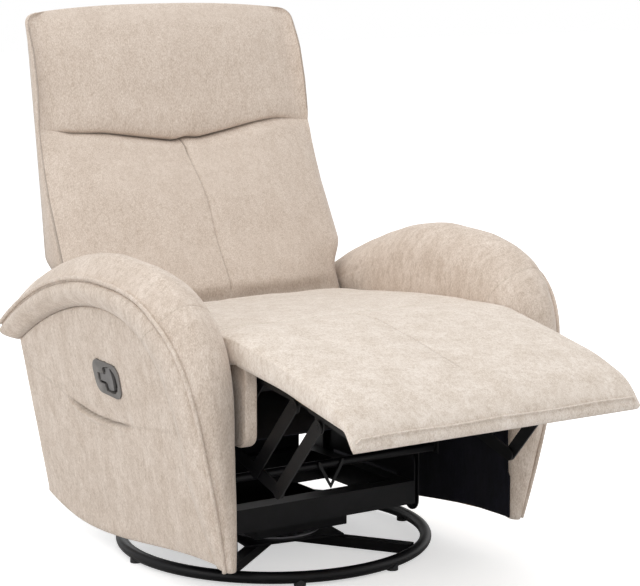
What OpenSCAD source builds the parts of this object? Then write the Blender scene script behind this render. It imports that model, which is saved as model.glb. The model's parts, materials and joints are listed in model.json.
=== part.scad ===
// Swivel glider recliner on a round floor ring, in millimetres.
// +Z is up, the sitter faces -Y and the origin is on the floor on the swivel axis.
// The drawn pose is the leg rest out and the back part reclined.

/* [Floor ring] */
// Outer radius of the floor ring
ring_r = 300; // [270:5:340]
// Radius of the ring's tube
ring_tube_r = 11; // [10:0.5:14]
// Height of the plastic floor glides
glide_h = 4; // [3:1:8]
// Angle that the ring stands turned from the seat
base_turn = -8; // [-20:1:20]

/* [Swivel and glider] */
// Half width of the square swivel plate
swivel_half = 100; // [90:2:120]
// Outer radius of the ball bearing's races
race_r = 88; // [75:1:88]
// Half width of the glider's fixed frame
glider_half = 185; // [165:5:195]
// Distance of the glide links from the swivel axis, to front and rear
glide_reach = 155; // [140:5:160]
// Height of the glide links' upper pivots
glide_top_z = 160; // [156:2:170]
// Length of a glide link between its pivots
glide_link_l = 72; // [64:2:74]

/* [Seat] */
// Clear width between the two arms
arm_gap = 588; // [560:4:640]
// Height of the seat's top at the knee
seat_h = 480; // [470:2:500]
// Drop of the seat's top from the knee to the back
seat_drop = 62; // [50:2:80]
// Thickness of the seat cushion at the knee
seat_t = 47; // [42:1:50]
// Distance of the knee in front of the swivel axis
knee_front = 345; // [335:5:360]
// Distance of the seat cushion's rear end behind the swivel axis
seat_rear = 126; // [120:2:128]
// Crown of the seat cushion at its rear end
seat_crown = 36; // [10:2:40]
// Depth of the seat box's side panels
box_d = 145; // [130:5:150]

/* [Arms] */
// Thickness of an arm at its piping
arm_t = 118; // [100:2:140]
// Thickness of an arm at the foot of its front
arm_foot_t = 23; // [20:1:30]
// Height of the piping at the top of the arch
arm_h = 549; // [530:5:570]
// Rise of the padded roll above the piping
arm_rise = 52; // [35:1:60]
// Distance of the arm's front in front of the swivel axis
arm_front = 366; // [360:2:380]
// Distance of the arm's rear end behind the swivel axis
arm_rear = 360; // [350:5:380]
// Height of the arm's front foot above the floor
arm_foot_z = 79; // [70:1:90]
// Height of the arm's lowest edge above the floor
arm_low_z = 40; // [38:1:55]
// Bulge of the band below the piping
band_bulge = 18; // [8:1:24]

/* [Back] */
// Height of the back's top edge
back_h = 1000; // [950:5:1050]
// Half width of the back at its top
back_top_half = 298; // [280:2:310]
// Half width of the back just above the arms
back_low_half = 311; // [298:1:316]
// Height of the crease below the head rest
crease_z = 780; // [760:5:800]
// Crown of the lumbar cushion
lumbar_crown = 44; // [20:1:50]
// Crown of the head rest
head_crown = 36; // [20:1:45]

/* [Leg rest] */
// Reach of the leg rest pad in front of its hinge
pad_reach = 345; // [320:5:350]
// Crown of the leg rest pad across its width
pad_crown = 10; // [4:1:14]
// Length of the two parallel ottoman links
ottoman_link_back = 120; // [110:2:126]
// Drop of the ottoman links between their ends
ottoman_link_drop = 135; // [128:1:140]

/* [Release lever] */
// Length of the lever's bezel, from front to rear
bezel_l = 99; // [96:1:103]
// Height of the bezel
bezel_w = 66; // [64:1:70]

/* [Hidden] */
$fn = 48;

// Shared fits: a turning pin in its hole, a gap between still pieces, and an overrun for cuts
run_fit = 0.05;
seat_gap = 0.3;
over = 1;
washer_t = 1.5;
steel_t = 3;
pin_r = 5;

// Floor ring
ring_mid_r = ring_r - ring_tube_r;
ring_z = glide_h + ring_tube_r;
glide_r = 11;
glide_pair_angle = 19.5;
arm_spread_angle = 43;
glide_turn = 4.5;
base_arm_w = 24;
base_arm_h = 18;

// Swivel plate and bearing, stacked on the ring's arms
base_plate_z = ring_z + base_arm_h / 2;
base_plate_t = 4;
race_t = 3;
ball_r = 4.5;
ball_dip = 1;
ball_count = 24;
race_z = base_plate_z + base_plate_t;
upper_race_z = race_z + race_t + 2 * (ball_r - ball_dip);
ball_z = race_z + race_t + ball_r - ball_dip;
rivet_r = 12;
rivet_head_r = 18;
rivet_head_t = 3;

// Fixed frame of the glider
rail_h = 44;
rail_w = 30;
glider_z = upper_race_z + race_t;
box_h = 42;
rail_z = glider_z + box_h;
post_w = 44;
link_r = 12;
post_x = glider_half + rail_w / 2;
glide_link_x = post_x + steel_t + washer_t;
hanger_x = glide_link_x + steel_t + washer_t;
glide_low_z = glide_top_z - glide_link_l;

// Moving side frame
plate_to_arm = 58;
side_plate_x = arm_gap / 2 - plate_to_arm;
tube_r = 8;
tube_gap = 2;
tube_z = glide_top_z + link_r + 2 * tube_r + tube_gap;
tube_front_y = -(glide_reach + post_w / 2 + tube_r + seat_gap);
rail_top_z = tube_z + tube_r + tube_gap;
plate_edge = 16;

// Leg rest hinge, as y and z, and the pivots of its parallel links
knee_drop = 25;
knee = [-knee_front, seat_h - seat_t - knee_drop];
link_swing = [-180, -52];
link_frame = [ottoman_link_back, -ottoman_link_drop];
inner_link_share = 0.6;
pivot_a = knee + link_frame;
pivot_b = knee + link_swing;
pivot_m = pivot_a + link_swing;
pivot_n = pivot_a + inner_link_share * link_swing;
pivot_p = knee + inner_link_share * link_swing;
bracket_gap = 2;
bracket_x = side_plate_x + steel_t + bracket_gap;
ottoman_link_x = bracket_x + steel_t + washer_t;
ottoman_r = 12;

// Recline hinge, as y and z
recline_y = 165;
recline_drop = 130;
recline = [recline_y, seat_h - recline_drop];
back_bracket_x = side_plate_x - steel_t - bracket_gap;

// Seat box, with its side rails and the cross rails that the springs rest on
rail_gap = 4;
rail_x = ottoman_link_x + steel_t + rail_gap;
seat_rail_t = 18;
panel_x = rail_x + seat_rail_t + seat_gap;
panel_t = 6;
cushion_gap = 6;
cushion_half = arm_gap / 2 - cushion_gap;
box_low_z = seat_h - seat_t - box_d;
box_rear_reach = 40;
seat_low_rise = 21;
seat_slope = (seat_drop + seat_low_rise) / (knee_front + seat_rear);
cross_rail_t = 18;
cross_rail_h = 45;
cross_front_setback = 14;
cross_rear_setback = 80;
cross_front_drop = 10;
cross_rear_drop = 4;
spring_wire = 4;
spring_pitch = 24;
spring_w = 52;

// Arm outlines in y and z: tip, front, shoulder, apex, rear end and the arch's roundness
arm_shoulder_rise = 214;
arm_shoulder_z = arm_foot_z + arm_shoulder_rise;
arm_tip_setback = 16;
arm_apex_y = -60;
arm_rear_drop = 144;
arm_roundness = 2 / 3;
seam_foot_setback = 54;
seam_front_setback = 100;
seam_shoulder_drop = 30;
seam_apex_y = -40;
seam_apex_drop = 56;
seam_rear_setback = 28;
seam_rear_drop = 174;
seam_roundness = 0.8;
pipe_line = [[-arm_front + arm_tip_setback, arm_foot_z], [-arm_front, arm_shoulder_z], [arm_apex_y, arm_h],
    [arm_rear, arm_h - arm_rear_drop], arm_roundness];
seam_line = [[-arm_front + seam_foot_setback, arm_foot_z], [-arm_front + seam_front_setback,
    arm_shoulder_z - seam_shoulder_drop],
    [seam_apex_y, arm_h - seam_apex_drop], [arm_rear - seam_rear_setback, arm_h - seam_rear_drop],
        seam_roundness];
foot_steps = 4;
arch_steps = 14;
rear_steps = 8;
arm_steps = foot_steps + arch_steps + rear_steps;
rear_power = 1.7;
arm_flare_drop = 36;
arm_flare_z = arm_h - arm_flare_drop;
seam_inset = 21;
seam_foot_inset = 5;
roll_base_t = 6;
roll_inner_drop = 25;
roll_tip_rise_share = 0.2;
roll_rear_rise_share = 0.75;
band_share = 0.21;
skin_t = 2;
ply_t = 10;
arm_core_inset = 32;
arm_core_lift = 1;
piping_r = 3.5;
low_y = 150;
low_rear_drop = 10;
low_rear_setback = 30;

// Back
back_lean = 0.2;
lumbar_lean = 0.503;
head_lean = 0.3;
crease_y = 356;
back_low_drop = 52;
back_low_z = seat_h - back_low_drop;
back_rear_y = 338;
back_rear_z = arm_flare_z;
wing_drop = 64;
wing_z = arm_h - wing_drop;
wing_h = 32;
back_arch = 12;
back_corner = 26;
neck_gap = 2;
back_neck_half = cushion_half - neck_gap;
cover_t = 4;
frame_half = 250;
frame_rail_w = 30;
frame_t = 20;

function lerp(a, b, u) = a + (b - a) * u;
function smooth(u) = u * u * (3 - 2 * u);
function clamp01(u) = min(1, max(0, u));

// A point of an arm outline: the foot, then a rounded shoulder, then the falling rear
function arch_point(line, i) =
    i <= foot_steps ?
        let (u = i / foot_steps) [line[1][0] + (line[0][0] - line[1][0]) * pow(1 - u, 2),
            lerp(line[0][1], line[1][1], u)]
    : i <= foot_steps + arch_steps ?
        let (a = 90 * (i - foot_steps) / arch_steps)
        [line[2][0] + (line[1][0] - line[2][0]) * pow(cos(a), line[4]),
            line[1][1] + (line[2][1] - line[1][1]) * pow(sin(a), line[4])]
    : let (u = (i - foot_steps - arch_steps) / rear_steps)
        [lerp(line[2][0], line[3][0], u), line[2][1] - (line[2][1] - line[3][1]) * pow(u, rear_power)];

// Outward normal of an outline at a step, and the outline moved inwards
function arch_normal(line, i) =
    let (a = arch_point(line, max(0, i - 1)), b = arch_point(line, min(arm_steps, i + 1)), d = b - a)
    [-d[1], d[0]] / norm(d);
function inset_point(line, i, inset) = arch_point(line, i) - inset * arch_normal(line, i);

// Half widths of the arm's outer side at the piping and at the lower seam
function flare(z) = clamp01((z - arm_foot_z) / (arm_flare_z - arm_foot_z));
function piping_x(z) = arm_gap / 2 + lerp(arm_foot_t, arm_t, flare(z));
function side_x(z) = arm_gap / 2 + lerp(arm_foot_t - seam_foot_inset, arm_t - seam_inset, flare(z));
function side_pad_t(z) = lerp(arm_foot_t, arm_t, flare(z)) * band_share;

// Lower edge of an arm, from the rear corner to the foot of the front
function low_edge_z(y) =
    y > low_y ? lerp(arm_low_z, arm_foot_z - low_rear_drop,
        pow((y - low_y) / (arm_rear - low_rear_setback - low_y), 2))
    : lerp(arm_low_z, arm_foot_z, smooth(clamp01((low_y - y) / (low_y + arm_front - seam_foot_setback))));

function roll_rise(i) =
    i <= foot_steps + arch_steps ?
        arm_rise * lerp(roll_tip_rise_share, 1, smooth(clamp01(1.3 * i / (foot_steps + arch_steps))))
    : arm_rise * lerp(1, roll_rear_rise_share, (i - foot_steps - arch_steps) / rear_steps);
function roll_drop(i) = roll_inner_drop * lerp(roll_tip_rise_share, 1, clamp01(i / foot_steps));

// A closed solid between two grids of points, front and rear, given as rows of equal length
module quilt(front, rear) {
    rows = len(front);
    cols = len(front[0]);
    size = rows * cols;
    function at(r, c) = r * cols + c;
    points = [for (row = front) for (p = row) p, for (row = rear) for (p = row) p];
    faces = [
        for (r = [0:rows - 2]) for (c = [0:cols - 2]) each [
            [at(r, c), at(r, c + 1), at(r + 1, c + 1)], [at(r, c), at(r + 1, c + 1), at(r + 1, c)],
            [size + at(r, c), size + at(r + 1, c + 1), size + at(r, c + 1)],
            [size + at(r, c), size + at(r + 1, c), size + at(r + 1, c + 1)]],
        for (c = [0:cols - 2]) each [
            [at(0, c), size + at(0, c), size + at(0, c + 1)], [at(0, c), size + at(0, c + 1), at(0,
                c + 1)],
            [at(rows - 1, c), size + at(rows - 1, c + 1), size + at(rows - 1, c)],
            [at(rows - 1, c), at(rows - 1, c + 1), size + at(rows - 1, c + 1)]],
        for (r = [0:rows - 2]) each [
            [at(r, 0), size + at(r + 1, 0), size + at(r, 0)], [at(r, 0), at(r + 1, 0), size + at(r + 1,
                0)],
            [at(r, cols - 1), size + at(r, cols - 1), size + at(r + 1, cols - 1)],
            [at(r, cols - 1), size + at(r + 1, cols - 1), at(r + 1, cols - 1)]]];
    polyhedron(points, faces);
}

// A tube of eight sides along points; it never runs along the given direction across it
module swept_tube(path, r, across) {
    last = len(path) - 1;
    sides = 8;
    function dir(i) = let (d = path[min(last, i + 1)] - path[max(0, i - 1)]) d / norm(d);
    rings = [for (i = [0:last])
        let (d = dir(i), a = cross(d, across), u = a / norm(a), v = cross(d, u))
        [for (k = [0:sides - 1]) path[i] + r * (cos(360 * k / sides) * u + sin(360 * k / sides) * v)]];
    points = [for (ring = rings) for (p = ring) p];
    walls = [for (i = [0:last - 1]) for (k = [0:sides - 1]) each
        let (a = i * sides + k, b = i * sides + (k + 1) % sides)
        [[a, a + sides, b + sides], [a, b + sides, b]]];
    caps = [for (k = [1:sides - 2]) each [[0, k, k + 1],
        [last * sides, last * sides + k + 1, last * sides + k]]];
    polyhedron(points, concat(walls, caps));
}

// A plate drawn in y and z, from x outwards
module plate(x, t) {
    translate([x, 0, 0]) rotate([90, 0, 90]) linear_extrude(t) children();
}

// A pin along x, centred on a pivot given as y and z
module pin(p, x, l, r) {
    translate([x, p[0], p[1]]) rotate([0, 90, 0]) cylinder(h = l, r = r);
}

module pair() {
    children();
    mirror([1, 0, 0]) children();
}

// A flat bar with round ends between two points, in the plane
module bar(a, b, r) {
    side = r * [a[1] - b[1], b[0] - a[0]] / norm(b - a);
    translate(a) circle(r);
    translate(b) circle(r);
    polygon([a + side, b + side, b - side, a - side]);
}

module hole(p) {
    translate(p) circle(pin_r + run_fit);
}

module base_ring() {
    color("#15151a") translate([0, 0, ring_z]) rotate_extrude($fn = 96) translate([ring_mid_r,
        0]) circle(ring_tube_r);
}

// Four tubes that run from the swivel plate to the ring
module base_arms() {
    reach = sqrt(pow(ring_mid_r, 2) - pow(base_arm_w / 2, 2)) - ring_tube_r;
    color("#15151a") rotate(base_turn) difference() {
        for (side = [-1, 1], end = [-90, 90]) rotate(end + side * arm_spread_angle)
            translate([0, -base_arm_w / 2, ring_z - base_arm_h / 2]) cube([reach, base_arm_w, base_arm_h]);
        translate([0, 0, ring_z - base_arm_h]) cylinder(h = 2 * base_arm_h, r = rivet_head_r + seat_gap);
    }
}

module floor_glides() {
    angles = [-90 - glide_pair_angle, -90 + glide_pair_angle, 0, 90 - glide_pair_angle,
        90 + glide_pair_angle, 180];
    color("#202024") rotate(base_turn + glide_turn) for (angle = angles) rotate(angle)
        translate([ring_mid_r, 0, 0]) difference() {
            cylinder(h = ring_z, r = glide_r);
            rotate([90, 0, 0]) translate([0, ring_z, -ring_r]) cylinder(h = 2 * ring_r,
                r = ring_tube_r + seat_gap);
        }
}

module base_plate() {
    color("#15151a") rotate(base_turn) translate([0, 0, base_plate_z]) difference() {
        translate([-swivel_half, -swivel_half, 0]) cube([2 * swivel_half, 2 * swivel_half, base_plate_t]);
        translate([0, 0, -over]) cylinder(h = base_plate_t + 2 * over, r = rivet_r + run_fit);
    }
}

// A race plate with a ball groove on one face
module race(z, groove_z) {
    difference() {
        translate([0, 0, z]) cylinder(h = race_t, r = race_r);
        translate([0, 0, z - over]) cylinder(h = race_t + 2 * over, r = rivet_r + run_fit);
        translate([0, 0, groove_z]) rotate_extrude() translate([race_r - 3 * ball_r,
            0]) circle(ball_r + run_fit);
    }
}

module lower_race() {
    color("#55565a") race(race_z, ball_z);
}

module upper_race() {
    color("#55565a") race(upper_race_z, ball_z);
}

module bearing_balls() {
    color("#b5b7bb") for (k = [0:ball_count - 1]) rotate(360 * k / ball_count)
        translate([race_r - 3 * ball_r, 0, ball_z]) sphere(ball_r, $fn = 16);
}

// The rivet that holds the swivel together, fixed in the base
module swivel_rivet() {
    z = ring_z - base_arm_h / 2;
    color("#55565a") translate([0, 0, z]) {
        cylinder(h = base_plate_z - z, r = rivet_head_r);
        cylinder(h = glider_z + steel_t + seat_gap - z, r = rivet_r);
        translate([0, 0, glider_z + steel_t + seat_gap - z]) cylinder(h = rivet_head_t, r = rivet_head_r);
    }
}

// Box on the swivel, and on it the frame of the rails that the links hang outside of
module glider_base() {
    l = 2 * glide_reach + post_w;
    color("#121216") {
        difference() {
            translate([-swivel_half, -swivel_half, glider_z]) cube([2 * swivel_half, 2 * swivel_half,
                box_h]);
            translate([-swivel_half + steel_t, -swivel_half + steel_t, glider_z + steel_t])
                cube([2 * (swivel_half - steel_t), 2 * (swivel_half - steel_t), box_h]);
            translate([0, 0, glider_z - over]) cylinder(h = steel_t + 2 * over, r = rivet_r + run_fit);
        }
        for (side = [-1, 1]) translate([side * glider_half - rail_w / 2, -l / 2, rail_z]) cube([rail_w,
            l, rail_h]);
        for (y = [-l / 2, l / 2 - rail_w]) translate([-glider_half + rail_w / 2, y, rail_z])
            cube([2 * glider_half - rail_w, rail_w, rail_h]);
        for (side = [-1, 1]) translate([-glider_half + rail_w / 2,
            side * (swivel_half - rail_w / 2) - rail_w / 2, rail_z])
            cube([2 * glider_half - rail_w, rail_w, rail_h / 2]);
        // Upright edge behind the rear rail, which closes the glider's frame from the rear
        translate([-glider_half + rail_w / 2, l / 2 - steel_t, rail_z])
            cube([2 * glider_half - rail_w, steel_t, tube_z - tube_r - 2 * tube_gap - rail_z]);
    }
}

// Posts that hold the upper pivots, with the pins that the links hang from
module glider_posts() {
    color("#121216") pair() for (end = [-1, 1]) {
        plate(post_x, steel_t) {
                translate([end * glide_reach - post_w / 2, rail_z]) square([post_w, glide_top_z - rail_z]);
                translate([end * glide_reach, glide_top_z]) circle(post_w / 2);
        }
        pin([end * glide_reach, glide_top_z], post_x, 2 * steel_t + washer_t, pin_r);
    }
}

module glide_links(end) {
    top = [end * glide_reach, glide_top_z];
    low = [end * glide_reach, glide_low_z];
    color("#3a3b40") pair() {
        plate(glide_link_x, steel_t) difference() {
            bar(top, low, link_r);
            hole(top);
            hole(low);
        }
    }
}

module front_glide_links() {
    glide_links(-1);
}

module rear_glide_links() {
    glide_links(1);
}

// Plates that hang on the glide links and carry the seat
module carriage_hangers() {
    reach = glide_reach + post_w / 2;
    color("#121216") pair() {
        plate(hanger_x, steel_t) difference() {
            union() {
                translate([-reach, glide_low_z]) square([2 * reach, tube_z - glide_low_z]);
                for (end = [-1, 1]) translate([end * glide_reach, glide_low_z]) circle(post_w / 2);
            }
            translate([-glide_reach + post_w, glide_low_z - post_w]) square([2 * (glide_reach - post_w),
                2 * post_w - steel_t]);
        }
        for (end = [-1, 1]) pin([end * glide_reach, glide_low_z], glide_link_x, steel_t + washer_t, pin_r);
    }
}

// Angle rails from the hangers out to the side plates
module carriage_rails() {
    l = 2 * (glide_reach + post_w / 2);
    color("#121216") pair() translate([hanger_x, -l / 2, tube_z + seat_gap])
        cube([side_plate_x - hanger_x - seat_gap, l, steel_t]);
}

module cross_tubes() {
    color("#121216") for (y = [tube_front_y, -tube_front_y])
        pin([y, tube_z], -side_plate_x + seat_gap, 2 * (side_plate_x - seat_gap), tube_r);
}

// Bent strap in the middle of the front tube
module spring_hook() {
    w = 24;
    drop = 44;
    color("#1c1c20") translate([0, tube_front_y - tube_r - seat_gap, tube_z]) rotate([90, 0,
        0]) linear_extrude(steel_t)
        polygon([[-w, tube_r], [0, tube_r - drop], [w, tube_r], [w + steel_t, tube_r], [w + steel_t, 0],
            [0, -drop], [-w - steel_t, 0], [-w - steel_t, tube_r]]);
}

// Side plates of the reclining gear, with the studs that the moving arms turn on
module side_plates() {
    edge = plate_edge;
    low = tube_z - tube_r - tube_gap;
    ramp = [60, 6];
    dip = [-20, -20];
    heel = [6, -8];
    waist = [edge, -36];
    stud_l = 2 * steel_t + bracket_gap + seat_gap;
    stud_end = 1;
    color("#121216") pair() {
        plate(side_plate_x, steel_t) {
            translate(knee) circle(edge);
            translate(pivot_a) circle(edge);
            translate(recline) circle(edge);
            polygon([knee + [-edge, 0], knee + [0, edge], knee + ramp, [seat_rear, recline[1]] + dip,
                [seat_rear, recline[1]] + heel, recline + [0, edge], recline + [edge, 0],
                    [-tube_front_y + edge, low],
                [tube_front_y - edge, low], [tube_front_y - edge, pivot_a[1] - edge], pivot_a + [0, -edge],
                pivot_a + [-edge, 0], knee + waist]);
        }
        pin(knee, side_plate_x, stud_l, pin_r);
        pin(pivot_a, side_plate_x, stud_l, pin_r);
        pin(recline, side_plate_x + steel_t - stud_l, stud_l - steel_t, pin_r);
    }
    color("#121216") pin(latch_at, -side_plate_x, steel_t + stud_end, pin_r);
}

// Straps that carry the arms on the side frame
module arm_brackets() {
    strap_w = 40;
    strap_ys = [-60, 140];
    z = rail_top_z + steel_t;
    color("#121216") pair() for (y = strap_ys)
        translate([side_plate_x + steel_t + seat_gap, y - strap_w / 2, z]) {
            cube([arm_gap / 2 - side_plate_x - steel_t - 2 * seat_gap, strap_w, steel_t]);
            cube([steel_t, strap_w, strap_w]);
            translate([arm_gap / 2 - side_plate_x - 2 * steel_t - 2 * seat_gap, 0, 0]) cube([steel_t,
                strap_w, strap_w]);
        }
}

// Height of the seat cushion's underside
function seat_under(y) = seat_h - seat_t - seat_slope * (y + knee_front);

// Wooden side rails of the seat box, with blocks that reach the side plates
module seat_rails() {
    rear = seat_rear + box_rear_reach;
    front = -knee_front + rail_setback;
    corner = 20;
    block_l = 40;
    block_h = 26;
    block_lift = 8;
    block_ys = [-110, 90];
    color("#c9a877") difference() {
        pair() {
            plate(rail_x, seat_rail_t) polygon([[front, box_low_z + corner], [front,
                seat_under(front) - seat_gap],
                [rear, seat_under(rear) - seat_gap], [rear, box_low_z], [front + corner, box_low_z]]);
            for (y = block_ys) translate([side_plate_x + steel_t + seat_gap, y - block_l / 2,
                box_low_z + block_lift])
                cube([rail_x - side_plate_x - steel_t - seat_gap, block_l, block_h]);
        }
        cable_bore(rail_x - over, seat_rail_t + 2 * over);
    }
}

module seat_cross_rails() {
    half = side_plate_x - seat_gap;
    color("#c9a877") {
        translate([-half, -knee_front + cross_front_setback,
            seat_under(-knee_front) - cross_rail_h - cross_front_drop])
            cube([2 * half, cross_rail_t, cross_rail_h]);
        translate([-half, seat_rear - cross_rear_setback,
            seat_under(seat_rear) - cross_rail_h - cross_rear_drop])
            cube([2 * half, cross_rail_t, cross_rail_h]);
    }
}

// Zigzag wire springs under the seat cushion
module zigzag(l, pitch, w, wire) {
    count = floor(l / pitch);
    function turn(k) = [(k % 2 == 0 ? -w : w) / 2, l * k / count];
    for (k = [0:count - 1]) {
        a = turn(k);
        b = turn(k + 1);
        side = wire / 2 * [a[1] - b[1], b[0] - a[0]] / norm(b - a);
        polygon([a + side, b + side, b - side, a - side]);
        translate(b) circle(wire / 2, $fn = 8);
    }
    translate(turn(0)) circle(wire / 2, $fn = 8);
}

module seat_springs() {
    wire = spring_wire;
    spacing = 95;
    lift = wire / 2 + seat_gap + seat_slope * cross_rail_t / 2;
    front = -knee_front + cross_front_setback + cross_rail_t / 2;
    rear = seat_rear - cross_rear_setback + cross_rail_t / 2;
    front_z = seat_under(-knee_front) - cross_front_drop + lift;
    rear_z = seat_under(seat_rear) - cross_rear_drop + lift;
    angle = atan2(rear_z - front_z, rear - front);
    l = norm([rear - front, rear_z - front_z]);
    color("#8b8d92") for (k = [-2:2]) translate([k * spacing, front, front_z]) rotate([angle, 0, 0])
        translate([0, 0, -wire / 2]) linear_extrude(wire) zigzag(l, spring_pitch, spring_w, wire);
}

// Thin black cloth that closes the seat from below
module dust_cloth() {
    half = side_plate_x - seat_gap;
    setback = 35;
    rear_gap = 24;
    cloth_t = 1.5;
    color("#0e0f18") translate([-half, -knee_front + setback, box_low_z])
        cube([2 * half, knee_front - setback + seat_rear + rear_gap, cloth_t]);
}

// Fabric covered side panels of the seat box, which turn in over the rails' front ends
panel_setback = 1;
rail_setback = 5;

module seat_side_panels() {
    rear = seat_rear + box_rear_reach;
    corner = 26;
    front = -knee_front + panel_setback;
    high = seat_under(front) - seat_gap;
    color("#cdb79c") difference() {
        pair() {
            plate(panel_x, panel_t) {
                polygon([[front, box_low_z + corner], [front, high], [rear, seat_under(rear) - seat_gap],
                    [rear, box_low_z], [front + corner, box_low_z]]);
                translate([front + corner, box_low_z + corner]) circle(corner);
            }
            translate([rail_x, front, box_low_z + corner]) cube([seat_rail_t + 2 * seat_gap, skin_t,
                high - box_low_z - corner]);
        }
        cable_bore(panel_x - over, panel_t + 2 * over);
    }
}

// Fullness across a cushion: one in the middle, falling to an edge share at the sides
function fullness(x, half, edge_share) = edge_share + (1 - edge_share) * pow(1 - pow(min(1,
    abs(x) / half), 8), 0.5);
function spread(k, n) = sin(90 * (2 * k / n - 1));

module seat_cushion() {
    cols = 14;
    rows = 14;
    crown = 2;
    edge_share = 0.72;
    rear_round = 10;
    flat_share = 0.12;
    top = [for (r = [0:rows]) [for (c = [0:cols])
        let (x = cushion_half * spread(c, cols), u = r / rows, y = lerp(-knee_front + seat_gap,
            seat_rear, u),
            f = fullness(x, cushion_half, edge_share), low = seat_under(y),
            high = seat_h - seat_drop * pow(clamp01((u - flat_share) / (1 - flat_share)),
                1.6) - (r == rows ? rear_round : 0))
        [x, y, low + (high - low) * f + lerp(crown, seat_crown, pow(u,
            2)) * (f - edge_share) / (1 - edge_share)]]];
    under = [for (r = [0:rows]) [for (c = [0:cols])
        let (x = cushion_half * spread(c, cols), y = lerp(-knee_front + seat_gap, seat_rear, r / rows))
        [x, y, seat_under(y)]]];
    color("#e4d7c5") quilt(under, top);
}

// Outline of an arm's wooden side, in y and z, kept inside the roll
module arm_outline(line, inset, low_lift) {
    rear = line[3][0] - inset;
    low = [for (k = [0:10]) let (y = lerp(rear, line[0][0] + inset, k / 10)) [y,
        low_edge_z(y) + low_lift]];
    polygon(concat([for (i = [0:arm_steps]) let (p = inset_point(line, i, inset))
        [min(p[0], rear), max(p[1], low_edge_z(p[0]) + low_lift)]], low));
}

// Space between the wooden side and the padded outer side, in x and z
module arm_core_section(gap) {
    low = arm_low_z - over;
    high = arm_h;
    polygon([[arm_gap / 2 + skin_t + ply_t - over, low], [side_x(low) - side_pad_t(low) - gap, low],
        [side_x(arm_foot_z) - side_pad_t(arm_foot_z) - gap, arm_foot_z],
        [side_x(arm_flare_z) - side_pad_t(arm_flare_z) - gap, arm_flare_z],
        [side_x(high) - side_pad_t(high) - gap, high], [arm_gap / 2 + skin_t + ply_t - over, high]]);
}

module arm_frame() {
    block = 24;
    front_y = -220;
    front_drop = 170;
    rear_setback = 80;
    rear_drop = 210;
    lift = 30;
    bar_y = -190;
    bar_l = 330;
    bar_drop = 110;
    color("#c9a877") {
        plate(arm_gap / 2 + skin_t, ply_t) arm_outline(pipe_line, arm_core_inset, arm_core_lift);
        intersection() {
            rotate([90, 0, 0]) translate([0, 0, -arm_rear]) linear_extrude(2 * arm_rear)
                arm_core_section(seat_gap);
            plate(arm_gap / 2, arm_t) {
                translate([front_y, arm_foot_z + lift]) square([block, arm_h - arm_foot_z - front_drop]);
                translate([arm_rear - rear_setback, arm_foot_z + lift]) square([block,
                    arm_h - arm_foot_z - rear_drop]);
                translate([bar_y, arm_h - bar_drop]) square([bar_l, block]);
                translate([bar_y, arm_foot_z + lift]) square([arm_rear - rear_setback + block - bar_y,
                    block]);
            }
        }
    }
}

module arm_frame_left() {
    arm_frame();
}

module arm_frame_right() {
    difference() {
        mirror([1, 0, 0]) arm_frame();
        cable_bore(arm_gap / 2 - over, ply_t + skin_t + 2 * over);
    }
}

// Padded outer side of an arm inside the lower seam
module arm_side() {
    gap = 0.5;
    low = arm_low_z - over;
    high = arm_h;
    color("#cdb79c") intersection() {
        rotate([90, 0, 0]) translate([0, 0, -arm_rear]) linear_extrude(2 * arm_rear) polygon([
            [side_x(low) - side_pad_t(low), low], [side_x(arm_foot_z) - side_pad_t(arm_foot_z),
                arm_foot_z],
            [side_x(arm_flare_z) - side_pad_t(arm_flare_z), arm_flare_z],
                [side_x(high) - side_pad_t(high), high],
            [side_x(high), high], [side_x(arm_flare_z), arm_flare_z], [side_x(arm_foot_z), arm_foot_z],
                [side_x(low), low]]);
        plate(arm_gap / 2, arm_t) arm_outline(seam_line, gap, 0);
    }
}

module arm_side_left() {
    arm_side();
}

// Middle of the lever's bezel on the right arm, as y and z, and the side's slope there
lever_y = -25;
lever_drop = 188;
lever_at = [lever_y, arm_h - lever_drop];
side_tilt = atan((side_x(arm_flare_z) - side_x(arm_foot_z)) / (arm_flare_z - arm_foot_z));
bezel_corner = 21;
bezel_rim = 5;
bezel_wall = 3;
bezel_lip = 3;
cup_depth = 16;

// Centres of the bezel's rounded corners, as shares of its half length and half height less the corner
bezel_shares = [[-1, -0.95], [-1, 0.85], [0.91, 1], [0.81, -0.72]];

// Places a child on the right arm's outer side: x runs out, y to the rear and z up along the side
module on_lever() {
    translate([-side_x(lever_at[1]), lever_at[0], lever_at[1]]) rotate([0, -side_tilt, 0]) mirror([1, 0,
        0]) children();
}

// Rounded outline of the bezel in the plane, smaller by an inset
module bezel_outline(inset) {
    reach = [bezel_l / 2 - bezel_corner, bezel_w / 2 - bezel_corner];
    hull() for (share = bezel_shares) translate([share[0] * reach[0],
        share[1] * reach[1]]) circle(bezel_corner - inset);
}

// A solid of the bezel's outline, from x outwards
module bezel_slab(inset, x, t) {
    translate([x, 0, 0]) rotate([90, 0, 90]) linear_extrude(t) bezel_outline(inset);
}

// Slit of the pocket in the arm's outer side, as places along the side and drops from the arm's top
pocket_w = 7;
pocket_ys = [159, 138, 86, 46, -15, -50, -91];
pocket_drops = [253, 262.5, 271.5, 274.5, 273.5, 270.5, 265];
pocket_path = [for (k = [0:len(pocket_ys) - 1]) [pocket_ys[k], arm_h - pocket_drops[k]]];

module arm_side_right() {
    difference() {
        mirror([1, 0, 0]) arm_side();
        on_lever() bezel_slab(bezel_rim - seat_gap, -arm_t / 2, arm_t);
        mirror([1, 0, 0]) plate(arm_gap / 2 + skin_t + ply_t, arm_t) for (k = [1:len(pocket_path) - 1])
            bar(pocket_path[k - 1], pocket_path[k], pocket_w / 2);
    }
}

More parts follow.
